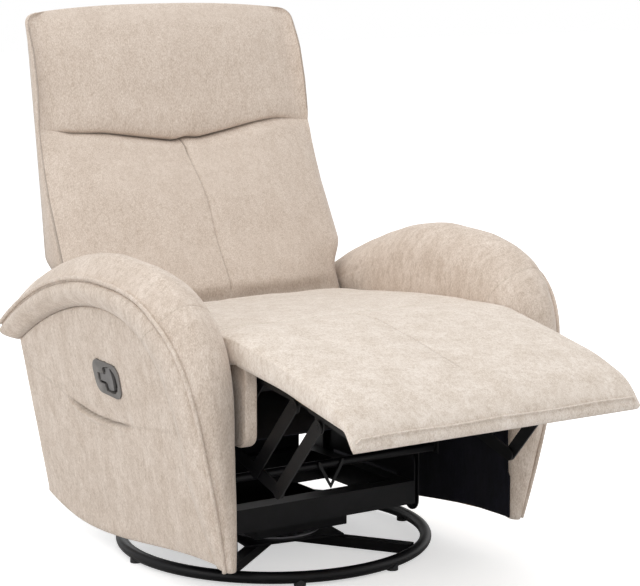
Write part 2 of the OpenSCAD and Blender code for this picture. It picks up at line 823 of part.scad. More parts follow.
// Bulging band between the piping and the lower seam
module arm_band() {
    cols = 5;
    rows = arm_steps;
    function edge(i) = let (p = arch_point(pipe_line, i), n = arch_normal(pipe_line, i),
        q = p - (roll_base_t + seat_gap) * n)
        [piping_x(p[1]), q[0], q[1]];
    function edge_in(i) = let (p = arch_point(pipe_line, i), n = arch_normal(pipe_line, i),
        q = p - (roll_base_t + 2 * seat_gap + roll_drop(i) * band_share) * n)
        [piping_x(p[1]) - side_pad_t(p[1]), q[0], q[1]];
    function seam(i) = let (p = arch_point(seam_line, i)) [side_x(p[1]), p[0], p[1]];
    function seam_in(i) = let (p = arch_point(seam_line, i)) [side_x(p[1]) - side_pad_t(p[1]), p[0], p[1]];
    outer = [for (i = [0:rows]) [for (k = [0:cols]) lerp(edge(i), seam(i), k / cols)
        + [band_bulge * sin(180 * k / cols) * clamp01(0.15 + i / foot_steps), 0, 0]]];
    inner = [for (i = [0:rows]) [for (k = [0:cols]) lerp(edge_in(i), seam_in(i), k / cols)]];
    color("#cdb79c") quilt(inner, outer);
}

module arm_band_left() {
    arm_band();
}

module arm_band_right() {
    mirror([1, 0, 0]) arm_band();
}

// Padded roll over the arch, from the inner face to the piping
module arm_roll() {
    cols = 8;
    roundness = 0.6;
    function inner(i) = let (q = inset_point(pipe_line, i, roll_drop(i))) [arm_gap / 2, q[0], q[1]];
    function outer(i) = let (p = arch_point(pipe_line, i)) [piping_x(p[1]), p[0], p[1]];
    function up(i) = let (n = arch_normal(pipe_line, i)) [0, n[0], n[1]];
    top = [for (i = [0:arm_steps]) [for (k = [0:cols]) let (s = (1 - cos(180 * k / cols)) / 2)
        lerp(inner(i), outer(i), s) + up(i) * roll_rise(i) * pow(4 * s * (1 - s), roundness)]];
    under = [for (i = [0:arm_steps]) [for (k = [0:cols]) let (s = (1 - cos(180 * k / cols)) / 2)
        lerp(inner(i), outer(i), s) - up(i) * roll_base_t]];
    color("#ddceba") quilt(under, top);
}

module arm_roll_left() {
    arm_roll();
}

module arm_roll_right() {
    mirror([1, 0, 0]) arm_roll();
}

module arm_piping() {
    path = [for (i = [0:arm_steps]) let (p = arch_point(pipe_line, i), q = inset_point(pipe_line, i,
        roll_base_t / 2))
        [piping_x(p[1]) + piping_r + seat_gap, q[0], q[1]]];
    color("#cdb79c") swept_tube(path, piping_r, [1, 0, 0]);
}

module arm_piping_left() {
    arm_piping();
}

module arm_piping_right() {
    mirror([1, 0, 0]) arm_piping();
}

// Fabric on the arms' inner faces above the seat, and black cloth below
lining_drop = 75;
lining_top = seat_h - lining_drop;

module arm_inner_covers() {
    color("#cdb79c") pair() plate(arm_gap / 2, skin_t) intersection() {
        arm_outline(pipe_line, arm_core_inset, arm_core_lift);
        translate([-arm_rear, lining_top + seat_gap]) square([2 * arm_rear, arm_h]);
    }
}

module arm_linings() {
    color("#0e0f18") difference() {
        pair() plate(arm_gap / 2, skin_t) intersection() {
            arm_outline(pipe_line, arm_core_inset, arm_core_lift);
            translate([-arm_rear, 0]) square([2 * arm_rear, lining_top]);
        }
        cable_bore(arm_gap / 2 - over, skin_t + 2 * over);
    }
}

// Cloth that closes the rear of each arm
module arm_rear_covers() {
    setback = 31;
    lift = 2;
    drop = 190;
    y = arm_rear - setback;
    color("#cdb79c") pair() intersection() {
        translate([0, y, 0]) rotate([90, 0, 0]) linear_extrude(cover_t) arm_core_section(seat_gap);
        translate([arm_gap / 2 + skin_t + ply_t + seat_gap, y - 2 * cover_t, low_edge_z(y) + lift])
            cube([arm_t, 4 * cover_t, arm_h - drop - low_edge_z(y)]);
    }
}

// Bezel with its cup, let into the right arm's side
// T-shaped opening in the bezel's face, as shares of the bezel's half sizes
opening_shares = [[0.1, 0.67], [-0.26, 0.74], [-0.48, 0.69], [-0.7, 0.48], [-0.79, 0.18], [-0.81, -0.2],
    [-0.73, -0.5], [-0.54, -0.71], [-0.28, -0.74], [0.1, -0.69], [0.14, -0.52], [0.18, -0.33],
    [0.54, -0.32], [0.61, -0.15], [0.63, 0.24], [0.15, 0.29], [0.18, 0.54]];

// A solid whose outline is a list of shares of the bezel's half sizes, from x outwards
module bezel_plate(shares, x, t) {
    translate([x, 0, 0]) rotate([90, 0, 90]) linear_extrude(t)
        polygon([for (share = shares) [share[0] * bezel_l / 2, share[1] * bezel_w / 2]]);
}

module lever_bezel() {
    color("#4b4d52") on_lever() difference() {
        union() {
            bezel_slab(0, seat_gap, bezel_lip);
            bezel_slab(bezel_rim, -cup_depth, cup_depth + bezel_lip);
        }
        bezel_slab(bezel_rim + bezel_wall, bezel_wall - cup_depth, cup_depth - bezel_wall + seat_gap);
        bezel_plate(opening_shares, -bezel_lip, 3 * bezel_lip);
        lever_pin(run_fit, seat_gap);
    }
}

// T-shaped pull paddle in the cup: a bar in front of its pin and a tab behind it
lever_shares = [[0.07, 0.6], [-0.24, 0.66], [-0.32, 0.36], [-0.38, -0.03], [-0.36, -0.6], [-0.1, -0.66],
    [0.06, -0.59], [0.07, -0.36], [0.14, -0.24], [0.58, -0.23], [0.57, 0.19], [0.11, 0.22]];
lever_pin_shares = [-0.75, 0.81];
lever_pin_share = 0.222;
lever_t = 5;
lever_pin_r = 1.5;

// The lever's pin, wider and longer by the given fits
module lever_pin(fit, end_gap) {
    low = lever_pin_shares[0] * bezel_w / 2 - end_gap;
    high = lever_pin_shares[1] * bezel_w / 2 + end_gap;
    translate([-lever_t / 2, lever_pin_share * bezel_l / 2, low]) cylinder(h = high - low,
        r = lever_pin_r + fit);
}

module release_lever() {
    color("#6a6c71") on_lever() {
        bezel_plate(lever_shares, -lever_t, lever_t);
        lever_pin(0, 0);
    }
}

// Pawl that the cable pulls off its catch, on the right side plate
latch_y = -120;
latch_rise = 50;
latch_at = [latch_y, tube_z + latch_rise];

module latch_pawl() {
    reach = [-34, -12];
    pawl_r = 8;
    color("#3a3b40") mirror([1, 0, 0]) plate(side_plate_x - steel_t - seat_gap, steel_t) difference() {
        bar(latch_at, latch_at + reach, pawl_r);
        hole(latch_at);
    }
}

// Cable from the lever's cup to the latch, through the arm's wooden side and the seat's side rail
cable_r = 3;
cable_gap = 4;
cable_bend = 14;
cup_clear = 8;
cable_bore_lift = 12;
cable_hole = [lever_y, box_low_z + cable_bore_lift];
cable_top = [side_x(lever_at[1]) - cup_depth - cable_r - cup_clear, lever_at[1]];
cable_drop_x = arm_gap / 2 + skin_t + ply_t + cable_bend + over;
cable_low_x = side_plate_x + steel_t + cable_r + cable_gap;
cable_path = [
    [-cable_top[0], lever_y, cable_top[1]],
    [-cable_top[0], lever_y, cable_top[1] - cable_bend],
    [-cable_drop_x, lever_y, cable_hole[1] + cable_bend],
    [-cable_drop_x + cable_gap, lever_y, cable_hole[1] + cable_gap],
    [-cable_drop_x + cable_bend, lever_y, cable_hole[1]],
    [-rail_x - seat_rail_t, lever_y, cable_hole[1]],
    [-rail_x + over, lever_y, cable_hole[1]],
    [-cable_low_x - over, lever_y - cable_gap, cable_hole[1] - cable_gap],
    [-cable_low_x, lever_y - cable_bend, cable_hole[1] - cable_bend],
    [-cable_low_x, latch_at[0] + 2 * cable_bend, latch_at[1] + cable_bend],
    [-cable_low_x, latch_at[0], latch_at[1] + cable_gap]];

// Bore for the cable in a piece of the right side, from x outwards
module cable_bore(x, t) {
    pin(cable_hole, -x - t, t, cable_r + seat_gap);
}

module release_cable() {
    color("#1a1a1e") swept_tube(cable_path, cable_r, [0, 1, 0]);
}

// Plane of the back's rear face, and the edge of its front face, as y at a height
function rear_y(z) = back_rear_y + (z - back_rear_z) * back_lean;
function edge_y(z) = crease_y + (z - crease_z) * (z < crease_z ? lumbar_lean : head_lean);
function back_half(z) =
    z < wing_z ? back_neck_half
    : z < wing_z + wing_h ? lerp(back_neck_half, back_low_half, smooth((z - wing_z) / wing_h))
    : lerp(back_low_half, back_top_half, (z - wing_z - wing_h) / (back_h - wing_z - wing_h));

module back_brackets() {
    rise = 60;
    eye_r = 18;
    knuckle = [40, 42];
    heel = [76, 20];
    waist = 26;
    top = [rear_y(seat_h + rise) - cover_t - frame_t, seat_h + rise];
    color("#121216") pair() plate(back_bracket_x, steel_t) difference() {
        union() {
            translate(recline) circle(eye_r);
            polygon([recline + [-eye_r, 0], recline + knuckle, [top[0] - waist, back_low_z],
                top - [cushion_gap, 0], top + [eye_r, 0],
                [rear_y(back_low_z) - cover_t - tube_gap, back_low_z], recline + heel, recline + [0,
                    -eye_r]]);
        }
        hole(recline);
    }
}

// Places a child in the back's leaning frame plane: z runs up the back from the cushion's lower edge
module in_back() {
    translate([0, rear_y(back_low_z) - cover_t - seat_gap, back_low_z]) rotate([-atan(back_lean), 0,
        0]) children();
}

frame_top_gap = 102;
frame_h = back_h - back_low_z - frame_top_gap;
frame_lift = 4;

module back_frame() {
    rail = frame_rail_w;
    slot_h = 200;
    color("#c9a877") in_back() difference() {
        translate([-frame_half, -frame_t, frame_lift]) cube([2 * frame_half, frame_t, frame_h]);
        translate([-frame_half + rail, -frame_t - over, frame_lift + rail])
            cube([2 * (frame_half - rail), frame_t + 2 * over, frame_h - 2 * rail]);
        for (side = [-1, 1]) translate([side * (back_bracket_x + steel_t / 2) - steel_t / 2 - seat_gap,
            -frame_t - over, 0])
            cube([steel_t + 2 * seat_gap, frame_t + 2 * over, slot_h]);
    }
}

module back_springs() {
    wire = spring_wire;
    spacing = 100;
    overlap = 6;
    l = frame_h - 2 * frame_rail_w + 2 * overlap;
    color("#8b8d92") in_back() for (k = [-1.5:1:1.5])
        translate([k * spacing, -frame_t - wire - seat_gap, frame_lift + frame_rail_w - overlap])
            rotate([90, 0, 0]) translate([0, 0, -wire]) linear_extrude(wire) zigzag(l, spring_pitch,
                spring_w, wire);
}

// Front surface of the back: two crowned cushions with a crease between and a seam below it
module back_cushion() {
    cols = 16;
    low_rows = 12;
    head_rows = 8;
    seam_depth = 7;
    head_turn_in = 20;
    crease_drop = 26;
    crease_reach = 160;
    rear_inset = 8;
    rear_top_drop = 16;
    spring_room = 5;
    slot_room = 3;
    slot_rise = 80;
    slot_l = 64;
    low_room = 40;
    function row_z(r) = r <= low_rows ? lerp(back_low_z, crease_z, r / low_rows)
        : lerp(crease_z, back_h, 1 - pow(1 - (r - low_rows) / head_rows, 1.3));
    function swell(r) = r <= low_rows ? 0.3 + 0.7 * pow(sin(180 * clamp01(0.12 + 0.88 * r / low_rows)),
        0.5)
        : 0.3 + 0.7 * pow(sin(180 * clamp01((r - low_rows) / head_rows)), 0.5);
    function crease_dip(x, z) = crease_drop * clamp01(1 - abs(z - crease_z) / crease_reach) * (1 - pow(x,
        2));
    function crown(r) = r <= low_rows ? lumbar_crown : head_crown;
    function head_turn(r) = r <= low_rows ? 0 : pow((r - low_rows) / head_rows, 4);
    function corner_in(z) = back_corner * (1 - pow(1 - pow(clamp01(1 - (back_h - z) / back_corner), 2),
        0.5));
    function arch_drop(s, r) = back_arch * pow(abs(s), 2.5) * head_turn(r);
    front = [for (r = [0:low_rows + head_rows]) [for (c = [0:cols])
        let (s = spread(c, cols), z = row_z(r), x = (back_half(z) - corner_in(z)) * s,
            full = (1 - pow(abs(s), 2.5)) * swell(r) * crown(r),
            seam = (c == cols / 2 && r > 0 && r < low_rows) ? seam_depth : 0,
            y = edge_y(z) - full + seam + head_turn_in * head_turn(r))
        [x, y, z - crease_dip(s, z) - arch_drop(s, r)]]];
    rear = [for (r = [0:low_rows + head_rows]) [for (c = [0:cols])
        let (s = spread(c, cols), z = row_z(r) - (r == low_rows + head_rows ? rear_top_drop : 0),
            x = (back_half(z) - corner_in(row_z(r)) - rear_inset) * s, low = z - arch_drop(s, r))
        [x, rear_y(low) - cover_t - seat_gap, low]]];
    color("#ddceba") difference() {
        quilt(rear, front);
        in_back() translate([-frame_half - seat_gap, -frame_t - spring_room, -over])
            cube([2 * (frame_half + seat_gap), frame_t + low_room, frame_h + 2 * spring_room]);
        pair() plate(back_bracket_x - slot_room, steel_t + 2 * slot_room) polygon([[recline[0],
            back_low_z - low_room],
            [rear_y(back_low_z), back_low_z - low_room], [rear_y(seat_h + slot_rise), seat_h + slot_rise],
            [rear_y(seat_h + slot_rise) - slot_l, seat_h + slot_rise]]);
    }
}

// Fabric panel over the rear of the back, hanging below the frame
module back_cover() {
    drop = 130;
    inset = 6;
    top_inset = 14;
    top_drop = 24;
    top = back_h - top_drop;
    color("#cdb79c") intersection() {
        in_back() translate([-back_low_half, seat_gap / 2, -drop]) cube([2 * back_low_half, cover_t,
            back_h]);
        rotate([90, 0, 0]) translate([0, 0, -2 * back_rear_y]) linear_extrude(2 * back_rear_y) polygon([
            [-back_neck_half + inset, back_low_z - drop], [back_neck_half - inset, back_low_z - drop],
            [back_neck_half - inset, wing_z], [back_low_half - inset, wing_z + wing_h],
                [back_top_half - top_inset, top - back_arch],
            [back_top_half * 2 / 3, top - back_arch / 3], [0, top], [-back_top_half * 2 / 3,
                top - back_arch / 3],
            [-back_top_half + top_inset, top - back_arch], [-back_low_half + inset, wing_z + wing_h],
                [-back_neck_half + inset, wing_z]]);
    }
}

// Leg rest: arms that turn at the knee, the board on them and the pad
board_rear_reach = 155;
board_rear_drop = 8;
board_front_setback = 24;
board_front_drop = 38;
board_rear = [knee[0] - board_rear_reach, knee[1] - board_rear_drop];
board_front = [knee[0] - pad_reach + board_front_setback, knee[1] - board_front_drop];
board_t = 12;

module legrest_brackets() {
    r = ottoman_r;
    arm_drop = [0, -10];
    flange_drop = [0, -14];
    flange_setback = [20, -14];
    over_front = [-60, 0];
    over_rear = [60, 0];
    over_top = [0, 40];
    notch = [-20, 4];
    color("#1c1c20") pair() {
        plate(bracket_x, steel_t) difference() {
            union() {
                bar(knee, board_rear + arm_drop, r);
                bar(board_rear + flange_drop, board_front + flange_setback, r);
                bar(pivot_p, pivot_p - flange_drop, r);
                bar(pivot_b, pivot_b - flange_drop, r);
            }
            hole(knee);
            polygon([board_rear + over_rear, board_front + over_front, board_front + over_front + over_top,
                board_rear + [notch[0], 0] + over_top, board_rear + notch]);
        }
        for (p = [pivot_b, pivot_p]) pin(p, bracket_x, 2 * steel_t + washer_t + seat_gap, pin_r);
    }
}

module legrest_board() {
    inset = 16;
    half = cushion_half - inset;
    up = [0, board_t];
    color("#c9a877") translate([-half, 0, 0]) plate(0, 2 * half) polygon([board_rear, board_front,
        board_front + up, board_rear + up]);
}

module legrest_pad() {
    cols = 14;
    rows = 12;
    edge_share = 0.8;
    rest = [0, board_t + seat_gap];
    top_shares = [0, 0.336, 0.687, 0.939, 1];
    top_drops = [2, 21, 43, 72, 98];
    low_share = 0.391;
    low_drop = 65;
    nose_setback = 2;
    nose_drop = 129;
    top_line = [for (k = [0:4]) [-knee_front - seat_gap - top_shares[k] * (pad_reach - seat_gap),
        seat_h - top_drops[k]]];
    low_line = [[-knee_front - seat_gap, seat_h - seat_t - top_drops[0]],
        [knee[0] - low_share * pad_reach, seat_h - low_drop],
        board_rear + rest, board_front + rest, [knee[0] - pad_reach + nose_setback, seat_h - nose_drop]];
    function along(line, u) = let (n = len(line) - 1, k = min(n - 1, floor(u * n))) lerp(line[k],
        line[k + 1], u * n - k);
    top = [for (r = [0:rows]) [for (c = [0:cols])
        let (x = cushion_half * spread(c, cols), p = along(top_line, r / rows), q = along(low_line,
            r / rows),
            f = fullness(x, cushion_half, edge_share))
        [x, lerp(q[0], p[0], f), lerp(q[1], p[1],
            f) + pad_crown * (f - edge_share) * sin(150 * r / rows)]]];
    under = [for (r = [0:rows]) [for (c = [0:cols])
        let (x = cushion_half * spread(c, cols), q = along(low_line, r / rows)) [x, q[0], q[1]]]];
    color("#e4d7c5") quilt(top, under);
}

module drive_links() {
    color("#3a3b40") pair() {
        plate(bracket_x, steel_t) difference() {
            bar(pivot_a, pivot_m, ottoman_r);
            hole(pivot_a);
        }
        for (p = [pivot_m, pivot_n]) pin(p, bracket_x, 2 * steel_t + washer_t + seat_gap, pin_r);
    }
}

module ottoman_links(low, high) {
    color("#3a3b40") pair() plate(ottoman_link_x, steel_t) difference() {
        bar(low, high, ottoman_r);
        hole(low);
        translate(high) circle(pin_r + seat_gap);
    }
}

module front_ottoman_links() {
    ottoman_links(pivot_m, pivot_b);
}

module rear_ottoman_links() {
    ottoman_links(pivot_n, pivot_p);
}

base_ring();
base_arms();
floor_glides();
base_plate();
lower_race();
bearing_balls();
swivel_rivet();
upper_race();
glider_base();
glider_posts();
front_glide_links();
rear_glide_links();
carriage_hangers();
carriage_rails();
cross_tubes();
spring_hook();
side_plates();
arm_brackets();
seat_rails();
seat_cross_rails();
seat_springs();
dust_cloth();
seat_side_panels();
seat_cushion();
arm_frame_right();
arm_frame_left();
arm_side_right();
arm_side_left();
arm_band_right();
arm_band_left();
arm_roll_right();
arm_roll_left();
arm_piping_right();
arm_piping_left();
arm_inner_covers();
arm_linings();
arm_rear_covers();
lever_bezel();
release_lever();
release_cable();
latch_pawl();
back_brackets();
back_frame();
back_springs();
back_cushion();
back_cover();
legrest_brackets();
legrest_board();
legrest_pad();
drive_links();
front_ottoman_links();
rear_ottoman_links();
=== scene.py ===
import json
import math

import bmesh
import bpy
import numpy as np
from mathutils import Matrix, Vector, noise


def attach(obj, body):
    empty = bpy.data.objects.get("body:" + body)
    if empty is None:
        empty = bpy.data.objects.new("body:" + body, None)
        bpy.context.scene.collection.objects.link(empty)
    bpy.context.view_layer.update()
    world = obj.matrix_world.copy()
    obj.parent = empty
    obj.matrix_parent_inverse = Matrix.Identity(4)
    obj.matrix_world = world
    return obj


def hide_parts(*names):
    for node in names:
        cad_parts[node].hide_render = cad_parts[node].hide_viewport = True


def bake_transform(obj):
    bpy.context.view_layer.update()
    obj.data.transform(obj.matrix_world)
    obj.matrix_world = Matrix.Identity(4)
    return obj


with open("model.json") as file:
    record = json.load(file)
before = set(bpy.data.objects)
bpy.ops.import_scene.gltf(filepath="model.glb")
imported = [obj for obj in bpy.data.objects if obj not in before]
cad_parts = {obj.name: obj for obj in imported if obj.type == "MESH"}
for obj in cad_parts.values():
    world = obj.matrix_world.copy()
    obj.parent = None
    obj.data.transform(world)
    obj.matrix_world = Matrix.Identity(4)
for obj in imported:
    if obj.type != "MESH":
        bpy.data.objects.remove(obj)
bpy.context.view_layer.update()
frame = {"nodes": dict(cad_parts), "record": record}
MM = 0.001

# Camera, as fitted to the photograph: the frame, the focal length and the point on the axis are in pixels
PHOTO_W, PHOTO_H, FOCAL, AXIS_X, AXIS_Y = 640, 586, 2143, 302.3, 320.1
AZIMUTH, ELEVATION, DISTANCE = math.radians(-33), math.radians(10.4), 3.924
target = Vector((0, -0.1, 0.442))
away = Vector((math.sin(AZIMUTH) * math.cos(ELEVATION), -math.cos(AZIMUTH) * math.cos(ELEVATION),
               math.sin(ELEVATION)))
camera_data = bpy.data.cameras.new("camera")
camera_data.sensor_width = 36
camera_data.lens = 36 * FOCAL / PHOTO_W
camera_data.shift_x = (PHOTO_W / 2 - AXIS_X) / PHOTO_W
camera_data.shift_y = (AXIS_Y - PHOTO_H / 2) / PHOTO_W
camera_data.clip_end = 50
camera = bpy.data.objects.new("camera", camera_data)
bpy.context.scene.collection.objects.link(camera)
camera.location = target + away * DISTANCE
camera.rotation_euler = (-away).to_track_quat("-Z", "Y").to_euler()
bpy.context.scene.camera = camera

# Sizes in millimetres, the same as the solids': seat, arms, the arms' lower edge, back, leg rest pad
GAP, SEAT_H, SEAT_DROP, SEAT_T, KNEE, SEAT_REAR, SEAT_CROWN, BOX_D = 588, 480, 62, 47, 345, 126, 36, 145
ARM_T, ARM_FOOT_T, ARM_H, ARM_RISE, ARM_FRONT, ARM_REAR, BULGE = 118, 23, 549, 52, 366, 360, 18
FOOT_Z, LOW_Z, LOW_Y = 79, 40, 150
BACK_H, TOP_HALF, LOW_HALF, CREASE_Z, LUMBAR, HEAD = 1000, 298, 311, 780, 44, 36
PAD_REACH, PAD_CROWN = 345, 3.5
SIDE = GAP / 2
HALF = SIDE - 6
SEAT_SLOPE = (SEAT_DROP + 21) / (KNEE + SEAT_REAR)

# Outlines of an arm, in y and z: toe, shoulder, top and tail, and how round the arch is
SHOULDER = FOOT_Z + 214
PIPE = ((-ARM_FRONT + 16, FOOT_Z), (-ARM_FRONT, SHOULDER), (-60, ARM_H), (ARM_REAR, ARM_H - 144), 2 / 3)
SEAM = ((-ARM_FRONT + 54, FOOT_Z), (-ARM_FRONT + 100, SHOULDER - 30), (-40, ARM_H - 56),
        (ARM_REAR - 28, ARM_H - 174), 0.8)
# Steps along an outline, and the share of the roll's drop that is left at its foot
FOOT, ARCH, REAR = 4, 14, 8
STEPS = FOOT + ARCH + REAR
FOOT_SHARE = 0.2
FLARE_Z = ARM_H - 36
ROLL_BASE, ROLL_DROP, BAND_SHARE = 6, 25, 0.21


def lerp(a, b, u):
    return a + (b - a) * u


def clamp01(u):
    return np.clip(u, 0, 1)


def smooth(u):
    u = clamp01(u)
    return u * u * (3 - 2 * u)


def round_in(u):
    """Rise from 0 to 1 along a quarter circle, for u from 0 to 1."""
    return np.sqrt(clamp01(1 - (1 - u) ** 2))


def hump(distance, width):
    """A smooth bump, 1 in its middle and near 0 from twice the width on."""
    return np.exp(-(distance / width) ** 2)


def spread(down, across):
    """Two grids: a value for each row, and a value for each column."""
    return np.repeat(down[:, None], len(across), 1), np.repeat(across[None], len(down), 0)


def arch_point(line, t):
    """Outline of an arm at step t, as arrays of y and z: up the foot, over the arch, down the rear."""
    toe, shoulder, top, tail, power = line
    t = np.asarray(t, float)
    u = clamp01(t / FOOT)
    foot = (shoulder[0] + (toe[0] - shoulder[0]) * (1 - u) ** 2, lerp(toe[1], shoulder[1], u))
    a = np.pi / 2 * clamp01((t - FOOT) / ARCH)
    arch = (top[0] + (shoulder[0] - top[0]) * np.cos(a) ** power,
            shoulder[1] + (top[1] - shoulder[1]) * np.sin(a) ** power)
    v = clamp01((t - FOOT - ARCH) / REAR)
    rear = (lerp(top[0], tail[0], v), top[1] - (top[1] - tail[1]) * v ** 1.7)
    pick = [t <= FOOT, t <= FOOT + ARCH]
    return np.select(pick, [foot[0], arch[0]], rear[0]), np.select(pick, [foot[1], arch[1]], rear[1])


def arch_normal(line, t):
    """Outward normal, from the same wide step as the solids' so that both agree."""
    t = np.asarray(t, float)
    ay, az = arch_point(line, np.maximum(0, t - 1))
    by, bz = arch_point(line, np.minimum(STEPS, t + 1))
    dy, dz = by - ay, bz - az
    n = np.hypot(dy, dz)
    return -dz / n, dy / n


def arm_thickness(z):
    return lerp(ARM_FOOT_T, ARM_T, clamp01((z - FOOT_Z) / (FLARE_Z - FOOT_Z)))


def piping_x(z):
    return SIDE + arm_thickness(z)


def side_x(z):
    return SIDE + lerp(ARM_FOOT_T - 5, ARM_T - 21, clamp01((z - FOOT_Z) / (FLARE_Z - FOOT_Z)))


def roll_drop(t):
    """How far the roll's inner edge lies below the piping."""
    return ROLL_DROP * lerp(FOOT_SHARE, 1, clamp01(t / FOOT))


def low_edge(y):
    """Height of an arm's lower edge."""
    rear = lerp(LOW_Z, FOOT_Z - 10, clamp01((y - LOW_Y) / (ARM_REAR - 30 - LOW_Y)) ** 2)
    front = lerp(LOW_Z, FOOT_Z, smooth((LOW_Y - y) / (LOW_Y + ARM_FRONT - 54)))
    return np.where(y > LOW_Y, rear, front)


def wobble(points, scale, seed, octaves=2):
    """Smooth noise from -1 to 1 at each point."""
    points = np.asarray(points)
    flat = points.reshape(-1, 3) * scale + seed * 17.3
    return np.array([noise.fractal(Vector(p), 0.6, 2.0, octaves) for p in flat]).reshape(points.shape[:-1])


def fine(lo, hi, step, seams=(), widths=(0.8, 1.8, 3.5, 6)):
    """Values from lo to hi, closer together at seams."""
    count = max(2, int(round(abs(hi - lo) / step)) + 1)
    values = list(np.linspace(lo, hi, count))
    for s in seams:
        values += [s] + [s + w for w in widths] + [s - w for w in widths]
    values = [v for v in values if min(lo, hi) - 1e-6 <= v <= max(lo, hi) + 1e-6]
    return np.array(sorted(set(round(v, 3) for v in values), reverse=lo > hi))


def mesh_object(name, points, faces, dark=None):
    """A smooth mesh of points in millimetres. dark is how much painted shade each point has."""
    mesh = bpy.data.meshes.new(name)
    mesh.from_pydata([tuple(p) for p in np.asarray(points, float) * MM], [], faces)
    mesh.update()
    if dark is not None:
        attribute = mesh.attributes.new("seam", "FLOAT", "POINT")
        attribute.data.foreach_set("value", np.asarray(dark, np.float32).ravel())
    bm = bmesh.new()
    bm.from_mesh(mesh)
    bmesh.ops.recalc_face_normals(bm, faces=bm.faces)
    bmesh.ops.delete(bm, geom=[vert for vert in bm.verts if not vert.link_faces], context="VERTS")
    bm.to_mesh(mesh)
    bm.free()
    mesh.polygons.foreach_set("use_smooth", [True] * len(mesh.polygons))
    obj = bpy.data.objects.new(name, mesh)
    bpy.context.scene.collection.objects.link(obj)
    return obj


def two_faces(rows, cols, keep=None, flip=False):
    """Faces of two grids that look away from each other. A face needs all its corners in keep."""
    faces, size = [], rows * cols
    for r in range(rows - 1):
        for c in range(cols - 1):
            if keep is None or keep[r:r + 2, c:c + 2].all():
                i = r * cols + c
                out = (i, i + 1, i + cols + 1, i + cols)
                back = (i, i + cols, i + cols + 1, i + 1)
                near, far = (back, out) if flip else (out, back)
                faces += [near, tuple(size + k for k in far)]
    return faces


def closed_grid(name, a, b, dark=None, keep=None):
    """A closed form between two grids of points of the same size."""
    rows, cols = a.shape[:2]
    size = rows * cols
    faces = two_faces(rows, cols, keep)
    for c in range(cols - 1):
        i, j = c, (rows - 1) * cols + c
        faces.append((i, size + i, size + i + 1, i + 1))
        faces.append((j, j + 1, size + j + 1, size + j))
    for r in range(rows - 1):
        i, j = r * cols, r * cols + cols - 1
        faces.append((i, i + cols, size + i + cols, size + i))
        faces.append((j, size + j, size + j + cols, j + cols))
    shade = None if dark is None else np.concatenate([np.asarray(dark).ravel(), np.zeros(size)])
    return mesh_object(name, np.concatenate([a.reshape(-1, 3), b.reshape(-1, 3)]), faces, shade)


def rim(rows, cols):
    """Places on a grid's edge, in order round it."""
    return [(r, 0) for r in range(rows)] + [(rows - 1, c) for c in range(1, cols)] + \
           [(r, cols - 1) for r in range(rows - 2, -1, -1)] + [(0, c) for c in range(cols - 2, 0, -1)]


def cushion(name, near, far, layers, shades, flip=False):
    """A closed form of two grids, with rings round its sides from the edges of the grids in layers.

    shades are the painted shade at seams and creases: for near, far and each ring."""
    rows, cols = near.shape[:2]
    size = rows * cols
    edge = rim(rows, cols)
    faces = two_faces(rows, cols, flip=flip)
    points = [near.reshape(-1, 3), far.reshape(-1, 3)]
    points += [np.array([layer[r, c] for r, c in edge]) for layer in layers]
    previous = [r * cols + c for r, c in edge]
    starts = [2 * size + k * len(edge) for k in range(len(layers))]
    rings = [[start + k for k in range(len(edge))] for start in starts] + [[size + i for i in previous]]
    for current in rings:
        for k in range(len(edge)):
            n = (k + 1) % len(edge)
            faces.append((previous[k], previous[n], current[n], current[k]) if flip
                         else (previous[n], previous[k], current[k], current[n]))
        previous = current
    return mesh_object(name, np.concatenate(points), faces, np.concatenate([s.ravel() for s in shades]))


def tube(name, path, r, sides):
    """A tube along a path, closed at both ends."""
    path = np.asarray(path, float)
    tangent = np.gradient(path, axis=0)
    tangent /= np.linalg.norm(tangent, axis=1, keepdims=True)
    u = np.cross(tangent, [1.0, 0.13, 0.07])
    u /= np.linalg.norm(u, axis=1, keepdims=True)
    v = np.cross(tangent, u)
    a = np.linspace(0, 2 * np.pi, sides, endpoint=False)
    round_x, round_y = np.cos(a)[None, :, None], np.sin(a)[None, :, None]
    rings = path[:, None] + r * (round_x * u[:, None] + round_y * v[:, None])
    rows, n = len(path), len(path) * sides
    after = [(c + 1) % sides for c in range(sides)]
    faces = [(r * sides + c, r * sides + after[c], (r + 1) * sides + after[c], (r + 1) * sides + c)
             for r in range(rows - 1) for c in range(sides)]
    faces += [(after[c], c, n) for c in range(sides)]
    faces += [((rows - 1) * sides + c, (rows - 1) * sides + after[c], n + 1) for c in range(sides)]
    ends = np.array([rings[0].mean(0), rings[-1].mean(0)])
    return mesh_object(name, np.concatenate([rings.reshape(-1, 3), ends]), faces)


def mirrored(points, right):
    out = np.array(points, float)
    if right:
        out[..., 0] *= -1
    return out


